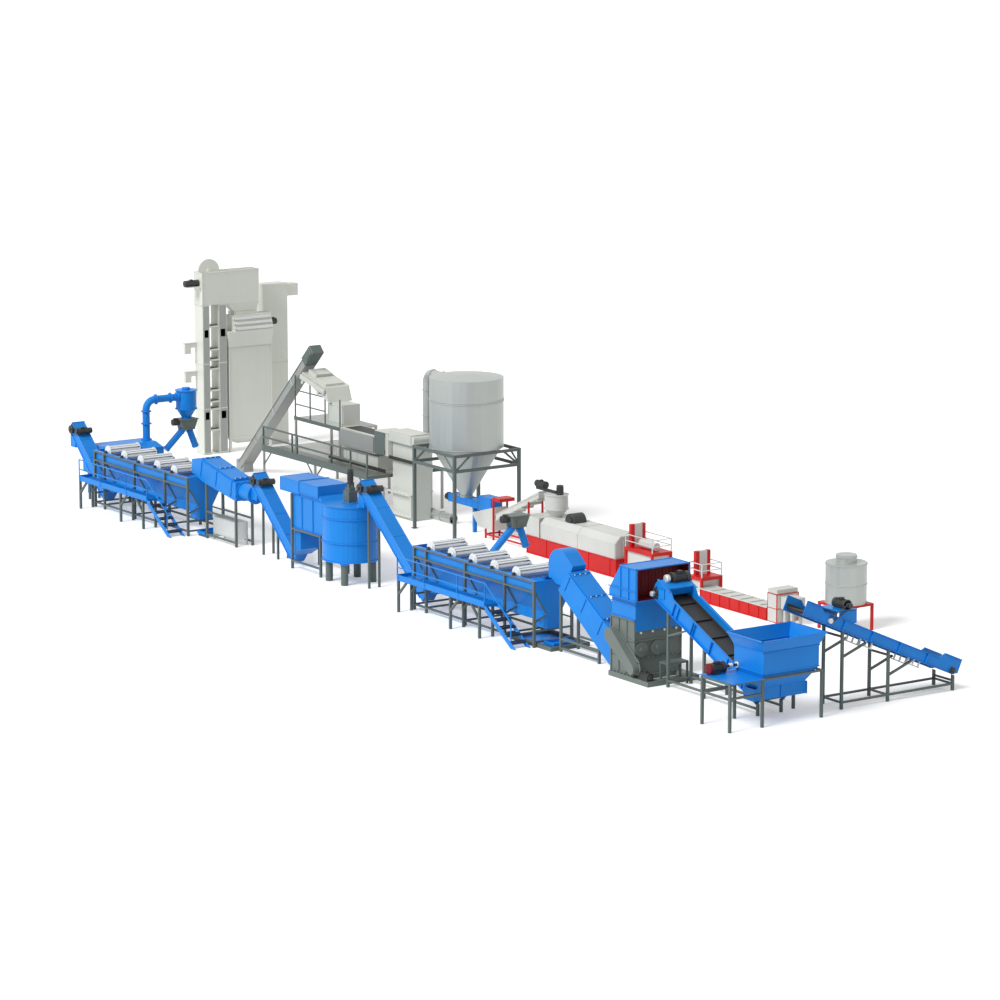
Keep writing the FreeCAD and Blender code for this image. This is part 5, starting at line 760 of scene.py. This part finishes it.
for z in (0.365, 2.65):
    bin_parts += slabs((bin_back, bin_near, z, bin_front, 5.892, z + 0.024),
                       (-26.118, bin_near, z, bin_front, bin_far, z + 0.024),
                       (bin_back, bin_near, z, -26.614, bin_far, z + 0.024))
bin_parts += [slab(-26.118, y, 0.37, -26.096, y + 0.022, 2.66) for y in (bin_near, 7.122)]
bin_parts += [slab(-26.914, 7.12, z, -26.488, 7.878, z + 0.024) for z in (0.05, 2.1, 4.12)]
bin_parts += [slab(-26.43, 5.99, z, x, 7.13, z + 0.018) for z, x in ((3.11, -25.948), (3.49, -26.09))]
gather("storage_bin_seams", bin_parts, tower_steel)
rollers = []
for z, x in ((3.18, -25.975), (3.3, -26.02), (3.42, -26.065)):
    rollers += [axle(x, z, 6.03, 7.09, 0.046, 28), axle(x, z, 6.02, 5.985, 0.03, 20)]
gather("roller_unit_rollers", rollers, stainless)
tower_drives = motor((-26.3, 5.115, 4.39), (-26.3, 4.722, 4.39), 0.075)
tower_drives += motor((-26.15, 7.125, 3.27), (-26.15, 7.3, 3.27), 0.075)
tower_drives += [axle(-26.2, z, 5.335, 5.598, 0.014, 10)
                 for z in (0.65, 1.19, 1.38, 1.67, 2.22, 2.45, 2.71, 3.3)]
gather("tower_drives", tower_drives, black_iron)
dress(tower_steel, "elevator_tower", "storage_bin")

# The inclined conveyor is a slim closed belt conveyor of bare grey sheet with a dark guard at its head.
# It lifts the sorted flakes to the feeder over the sorting platform.
rise = Slope((-23.65, 4.84, 0.02), (3.54, 0, 3.38))
rise_length = 4.894
gather("incline_conveyor_ribs",
       rise.strips(0.136, 0.16, (0.1, 0.182, rise_length, 0.196), (0.1, -0.004, rise_length, 0.008),
                   *[(at, 0.0, at + 0.012, 0.19) for at in (1.2, 2.4, 3.6)]), incline_steel)
gather("incline_conveyor_head_guard",
       [rise.slab(rise_length - 0.5, -0.165, -0.01, rise_length + 0.01, 0.165, 0.24),
        rise.slab(rise_length - 0.3, -0.185, 0.02, rise_length - 0.04, -0.16, 0.2)], frame_paint, edge=0.02)
dress(incline_steel, "incline_conveyor")

# The sorting platform is a deck on posts with a handrail of tube and a higher deck for the feeder.
# The machines on it are folded boxes of pale sheet with bolted seams, doors and lids.
machine_pale = brushed("machine_pale", (0.64, 0.66, 0.6), 0.42, 0.1)
deck_steel = brushed("deck_steel", (0.4, 0.41, 0.38), 0.35, 0.45)
deck_edges = slabs((-21.462, 4.05, 0.905, -16.738, 4.066, 1.07),
                   (-16.746, 4.05, 0.905, -16.73, 6.2, 0.985),
                   (-20.912, 4.628, 1.7, -18.842, 4.642, 1.79))
deck_edges += [slab(-21.4 + step * 0.1, 4.08, 0.97, -21.388 + step * 0.1, 4.62, 0.974)
               for step in range(46)]
for x, ways in ((-21.457, (0.34,)), (-19.125, (-0.34, 0.34)), (-16.793, (-0.34,))):
    deck_edges.append(slab(x - 0.03, 4.04, 0, x + 0.08, 4.14, 0.014))
    deck_edges += [rod((x + 0.025, 4.088, 0.57), (x + 0.025 + way, 4.088, 0.905), 0.018, 10) for way in ways]
deck_edges += [slab(x, 4.063, 0.97, x + 0.036, 4.099, 1.5) for x in (-20.12, -18.34, -17.5)]
gather("sorting_deck_edges", deck_edges, frame_paint, edge=0.002)
rail_left, rail_y = -20.89, 4.66
upper_rail = [rod((x, rail_y, 1.75), (x, rail_y, top), 0.018, 12)
              for x, top in ((rail_left, 2.78), (-20.21, 2.78), (-19.53, 2.45), (-18.864, 2.45))]
upper_rail += [rod((rail_left, rail_y, z), (-19.56, rail_y, z), 0.016, 12) for z in (2.08, 2.42)]
gather("upper_deck_rail", upper_rail, frame_paint, edge=0)
feeder = Slope((-20.515, 4.64, 2.895), (1.048, 0, -0.244))
sort_parts = [feeder.slab(at, -0.014, -0.2, at + 0.016, 0.002, 0.012) for at in (0.02, 0.36, 0.7, 1.05)]
sort_parts += [feeder.slab(0.0, -0.016, -0.004, 1.076, 0.03, 0.014),
               feeder.slab(0.0, 0.63, -0.004, 1.076, 0.676, 0.014)]
seam = 0.014
for left, right, low, high, near, marks in ((-19.521, -18.82, 1.861, 2.278, 4.726, 2),
                                            (-18.82, -17.29, 1.372, 1.8, 4.626, 5),
                                            (-17.29, -16.7, 1.407, 1.954, 4.626, 2),
                                            (-19.157, -17.309, 0.975, 1.3, 4.726, 5)):
    for step in range(marks):
        x = left + step * (right - left - seam) / (marks - 1)
        sort_parts.append(slab(x, near, low, x + seam, near + 0.016, high))
    sort_parts += [slab(left, near, z, right, near + 0.016, z + seam) for z in (low, high - seam)]
sort_parts += slabs((-18.6, 4.62, 1.46, -18.15, 4.64, 1.7), (-17.98, 4.62, 1.46, -17.53, 4.64, 1.7),
                    (-17.15, 4.618, 1.52, -16.85, 4.64, 1.84))
gather("sorting_machine_seams", sort_parts, machine_pale)
gather("sorter_tray_side", [slab(-18.79, 4.61, 1.395, -17.32, 4.624, 1.775)], incline_steel)
gather("sorter_end_door", [slab(-17.27, 4.606, 1.42, -16.84, 4.622, 1.94)], frame_paint, edge=0.006)
feeder_beam = [feeder.slab(-0.02, -0.06, -0.15, 1.1, -0.016, -0.04),
               feeder.slab(0.1, 0.1, 0.0, 0.46, 0.56, 0.11),
               feeder.slab(0.5, 0.08, 0.0, 0.96, 0.58, 0.05)]
for at in (0.12, 0.84):
    hub = feeder.point(at, -0.02, -0.2)
    feeder_beam.append(rod(hub, hub - Vector((0, 0.05, 0)), 0.045, 20))
gather("feeder_beam_and_lids", feeder_beam, machine_pale)
sorter_top = [axle(-15.755, 1.906, 4.66, 5.18, 0.11, 28)]
sorter_top += slabs((-16.7, 4.66, 2.02, -15.74, 5.18, 2.034), (-16.95, 4.6, 0.1, -15.7, 4.66, 0.14),
                    (-16.95, 4.6, 0.14, -16.9, 4.66, 0.62), (-15.75, 4.6, 0.14, -15.7, 4.66, 0.62),
                    (-16.95, 4.6, 0.6, -15.7, 4.66, 0.64))
gather("sorter_top", sorter_top, machine_pale)
# The thin black sheets over the machines' openings are painted shade: they stand for the dark insides seen
# through them.
gather("sorter_openings_painted_shade",
       slabs((-19.46, 4.8, 2.276, -18.9, 5.2, 2.284), (-18.72, 4.72, 1.798, -17.46, 5.16, 1.806),
             (-16.73, 4.655, 1.36, -15.72, 4.668, 1.44), (-19.3, 4.6, 1.0, -16.8, 4.622, 1.085)),
       belt_rubber)
dress(machine_pale, "sorting_machines")
dress(deck_steel, "sorting_platform")
dress(frame_paint, "sorting_platform_rails")

# The storage silo is a rolled stainless shell with ring bands, a shallow roof and a cone.
# It stands in a braced steel frame over an outlet screw, and a bent duct fills it.
silo_steel = brushed("silo_steel", (0.47, 0.5, 0.475), 0.38, 0.45, (0.8, 0.8, 0.02))
silo = (-14.276, 5.204)
gather("silo_bands", [disc(*silo, z, 0.016, 0.862, 96) for z in (1.955, 3.015, 3.055)]
       + [disc(*silo, 0.772, 0.028, 0.155)], silo_steel)
duct_x, duct_y, duct_low = -16.06, 5.312, 0.125
duct_parts = [disc(duct_x, duct_y, z, 0.022, 0.128) for z in (0.6, 1.2, 1.8, 2.4, 3.0)]
duct_parts += [rod((x, duct_y, z), (x + 0.022, duct_y, z), radius, 32)
               for x, z, radius in ((-15.82, 3.4, 0.128), (-15.4, 3.4, 0.128), (-15.9, duct_low, 0.124),
                                    (-15.45, duct_low, 0.124), (-15.012, duct_low, 0.124))]
duct_parts.append(rod((-16.18, duct_y, duct_low), (duct_x, duct_y, duct_low), 0.08, 32, 0.112))
gather("duct_flanges", duct_parts, silo_steel)
frame_parts = []
left, right, near, far, frame_top = -15.141, -13.411, 4.284, 6.124, 1.9467
for x in (left, right - 0.07):
    for y in (near, far - 0.07):
        frame_parts += slabs((x, y, 0, x + 0.07, y + 0.07, frame_top),
                             (x - 0.03, y - 0.03, 0, x + 0.1, y + 0.1, 0.016))
for top in (frame_top, 1.6):
    frame_parts += [slab(left + 0.065, y + 0.001, top - 0.07, right - 0.065, y + 0.049, top - 0.001)
                    for y in (near, far - 0.05)]
    frame_parts += [slab(x + 0.001, near + 0.065, top - 0.07, x + 0.049, far - 0.065, top - 0.001)
                    for x in (left, right - 0.05)]
knee_foot, knee_head, knee_reach = 1.56, 1.9, 0.42
for y in (near + 0.025, far - 0.025):
    frame_parts += [rod((x, y, knee_foot), (x + way, y, knee_head), 0.028, 4)
                    for x, way in ((left + 0.04, knee_reach), (right - 0.04, -knee_reach))]
for x in (left + 0.025, right - 0.025):
    frame_parts += [rod((x, y, knee_foot), (x, y + way, knee_head), 0.028, 4)
                    for y, way in ((near + 0.04, knee_reach), (far - 0.04, -knee_reach))]
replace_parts(gather("silo_frame_with_knees", frame_parts, frame_paint), "silo_frame")
outlet_parts = slabs((-14.848, 5.072, 0.76, -13.058, 5.092, 0.784),
                     (-14.848, 5.316, 0.76, -13.058, 5.336, 0.784),
                     (-13.578, 5.046, 0.9, -13.056, 5.362, 0.926),
                     (-13.072, 5.046, 0.6, -13.054, 5.362, 0.926),
                     (-14.854, 5.076, 0.59, -14.836, 5.332, 0.784))
outlet_parts += [slab(-14.6 + 0.24 * step, 5.078, 0.6, -14.588 + 0.24 * step, 5.086, 0.77)
                 for step in range(5)]
gather("outlet_screw_flanges", outlet_parts, blue_paint)
gather("outlet_screw_motor", motor((-14.85, 5.155, 0.685), (-15.006, 5.155, 0.685), 0.075), black_iron)
dress(silo_steel, "silo_shells", "silo_ends", "silo_duct")
dress(blue_paint, "silo_outlet_screw")

# The pelletizing line is a red base with white covers: tray, covered belt, compactor and extruder.
# Two red and white drive units, a water trough and a pelletizer stand on the floor after it.
line_red = painted("line_red", (0.6, 0.006, 0.006), 0.36, 0.05)
line_white = painted("line_white", (0.63, 0.64, 0.6), 0.42, 0.06, 0.05)
red_parts = [slab(x, 4.852, 0.0, x + 0.018, 4.864, 0.405)
             for x in (-11.355, -10.6, -9.8, -9.0, -8.2, -7.975)]
for z in (0.0, 0.392):
    red_parts += slabs((-11.36, 4.846, z, -7.955, 4.864, z + 0.018),
                       (-7.962, 4.85, z, -7.946, 5.565, z + 0.018))
cutter_left, cutter_near = -2.745, 4.922
for x in (cutter_left, -2.445):
    red_parts += [slab(x, y, 0, x + 0.018, y + 0.018, 0.6) for y in (cutter_near, 5.484)]
for z in (0.0, 0.29, 0.588):
    red_parts += [slab(x, cutter_near, z, x + 0.018, 5.502, z + 0.016) for x in (cutter_left, -2.445)]
    red_parts.append(slab(cutter_left, cutter_near, z, -2.427, 4.938, z + 0.016))
gather("pellet_line_red_trim", red_parts, line_red, edge=0.002)
unit_rails = []
for left, right, near, far, low, top in ((-7.765, -6.795, 4.973, 5.48, 0.72, 1.0),
                                         (-5.485, -5.065, 4.993, 5.513, 0.49, 0.77)):
    unit_rails += [rod((x, y, low), (x, y, top), 0.014, 10) for x in (left, right) for y in (near, far)]
    for z in (top, (low + top) / 2):
        unit_rails += [rod((left, y, z), (right, y, z), 0.012, 10) for y in (near, far)]
        unit_rails += [axle(x, z, near, far, 0.012, 10) for x in (left, right)]
gather("drive_unit_rails", unit_rails, stainless, edge=0)
white_parts = []
for x in (-10.82, -9.41, -8.02):
    white_parts += slabs((x, 4.852, 0.412, x + 0.012, 4.866, 0.744),
                         (x, 4.998, 0.876, x + 0.012, 5.56, 0.89))
    white_parts.append(laid(Vector((x, 4.863, 0.745)), Matrix.Rotation(math.radians(44.6), 3, "X"),
                            (0, 0, -0.002), (0.012, 0.19, 0.01)))
white_parts += [slab(-7.994, 5.08 + step * 0.045, 0.52, -7.982, 5.1 + step * 0.045, 0.78)
                for step in range(9)]
white_parts += slabs((-11.375, 4.853, 0.43, -10.865, 4.866, 0.825),
                     (-11.3, 4.848, 0.5, -10.94, 4.858, 0.76),
                     (-11.375, 4.86, 0.838, -10.862, 5.56, 0.852))
white_parts += [disc(-10.71, 5.213, z, 0.018, radius, 48)
                for z, radius in ((0.882, 0.135), (1.058, 0.282), (1.378, 0.282))]
covered_belt = Slope((-12.857, 5.213, 0.603), (1.7, 0, 0.728))
white_parts += [covered_belt.slab(0.02 + step * 0.34, -0.176, -0.14, 0.036 + step * 0.34, 0.176, 0.012)
                for step in range(6)]
white_parts += covered_belt.strips(0.16, 0.182, (0.0, 0.0, 1.84, 0.014))
white_parts += slabs((cutter_left, 4.94, 0.604, -2.445, 5.485, 0.69),
                     (-2.42, 5.02, 0.3, -2.06, 5.38, 0.56),
                     *[(x, y, 0.0, x + 0.05, y + 0.05, 0.3) for x in (-2.38, -2.15)
                       for y in (5.06, 5.29)])
gather("pellet_line_white_covers", white_parts, line_white, edge=0.002)
pulley_x, pulley_z = -9.958, 0.9
line_drives = motor((-11.115, 5.213, 1.525), (-11.463, 5.213, 1.525), 0.075)
line_drives += motor((-10.571, 5.213, 1.395), (-10.571, 5.213, 1.605), 0.075)
line_drives += [axle(pulley_x, pulley_z, 5.05, 5.376, 0.18, 40),
                axle(pulley_x, pulley_z, 5.02, 5.05, 0.09, 32),
                slab(-10.1, 5.1, 0.875, -9.8, 5.33, 0.905)]
gather("pellet_line_drives", line_drives, black_iron)
lid_pitch = 0.33
trough_lids = slabs((-5.05, 4.915, 0.268, -2.762, 4.942, 0.286),
                    (-5.05, 5.33, 0.268, -2.762, 5.357, 0.286))
trough_ribs = [slab(-5.045, 4.912, 0.0, -2.767, 4.928, 0.018)]
for x in [-5.03 + lid_pitch * step for step in range(7)]:
    trough_lids += slabs((x, 4.93, 0.272, x + 0.02, 5.342, 0.29),
                         (x + 0.03, 4.945, 0.262, x + 0.3, 5.327, 0.276))
    trough_ribs.append(slab(x, 4.914, 0, x + 0.02, 4.928, 0.268))
gather("cooling_trough_lids", trough_lids, line_white, edge=0.002)
gather("cooling_trough_ribs", trough_ribs, line_red, edge=0.002)
product_silo = (-1.25, 5.78)
product_bands = [disc(*product_silo, z, 0.018, 0.438, 72) for z in (0.565, 0.95, 1.36)]
product_bands += [disc(*product_silo, 1.5, 0.02, 0.228, 48),
                  disc(*product_silo, 0.31, 0.025, 0.085)]
gather("product_silo_bands", product_bands, silo_steel)
dress(line_red, "pellet_line_base", "cooling_trough")
dress(line_white, "extruder_hood", "compactor")
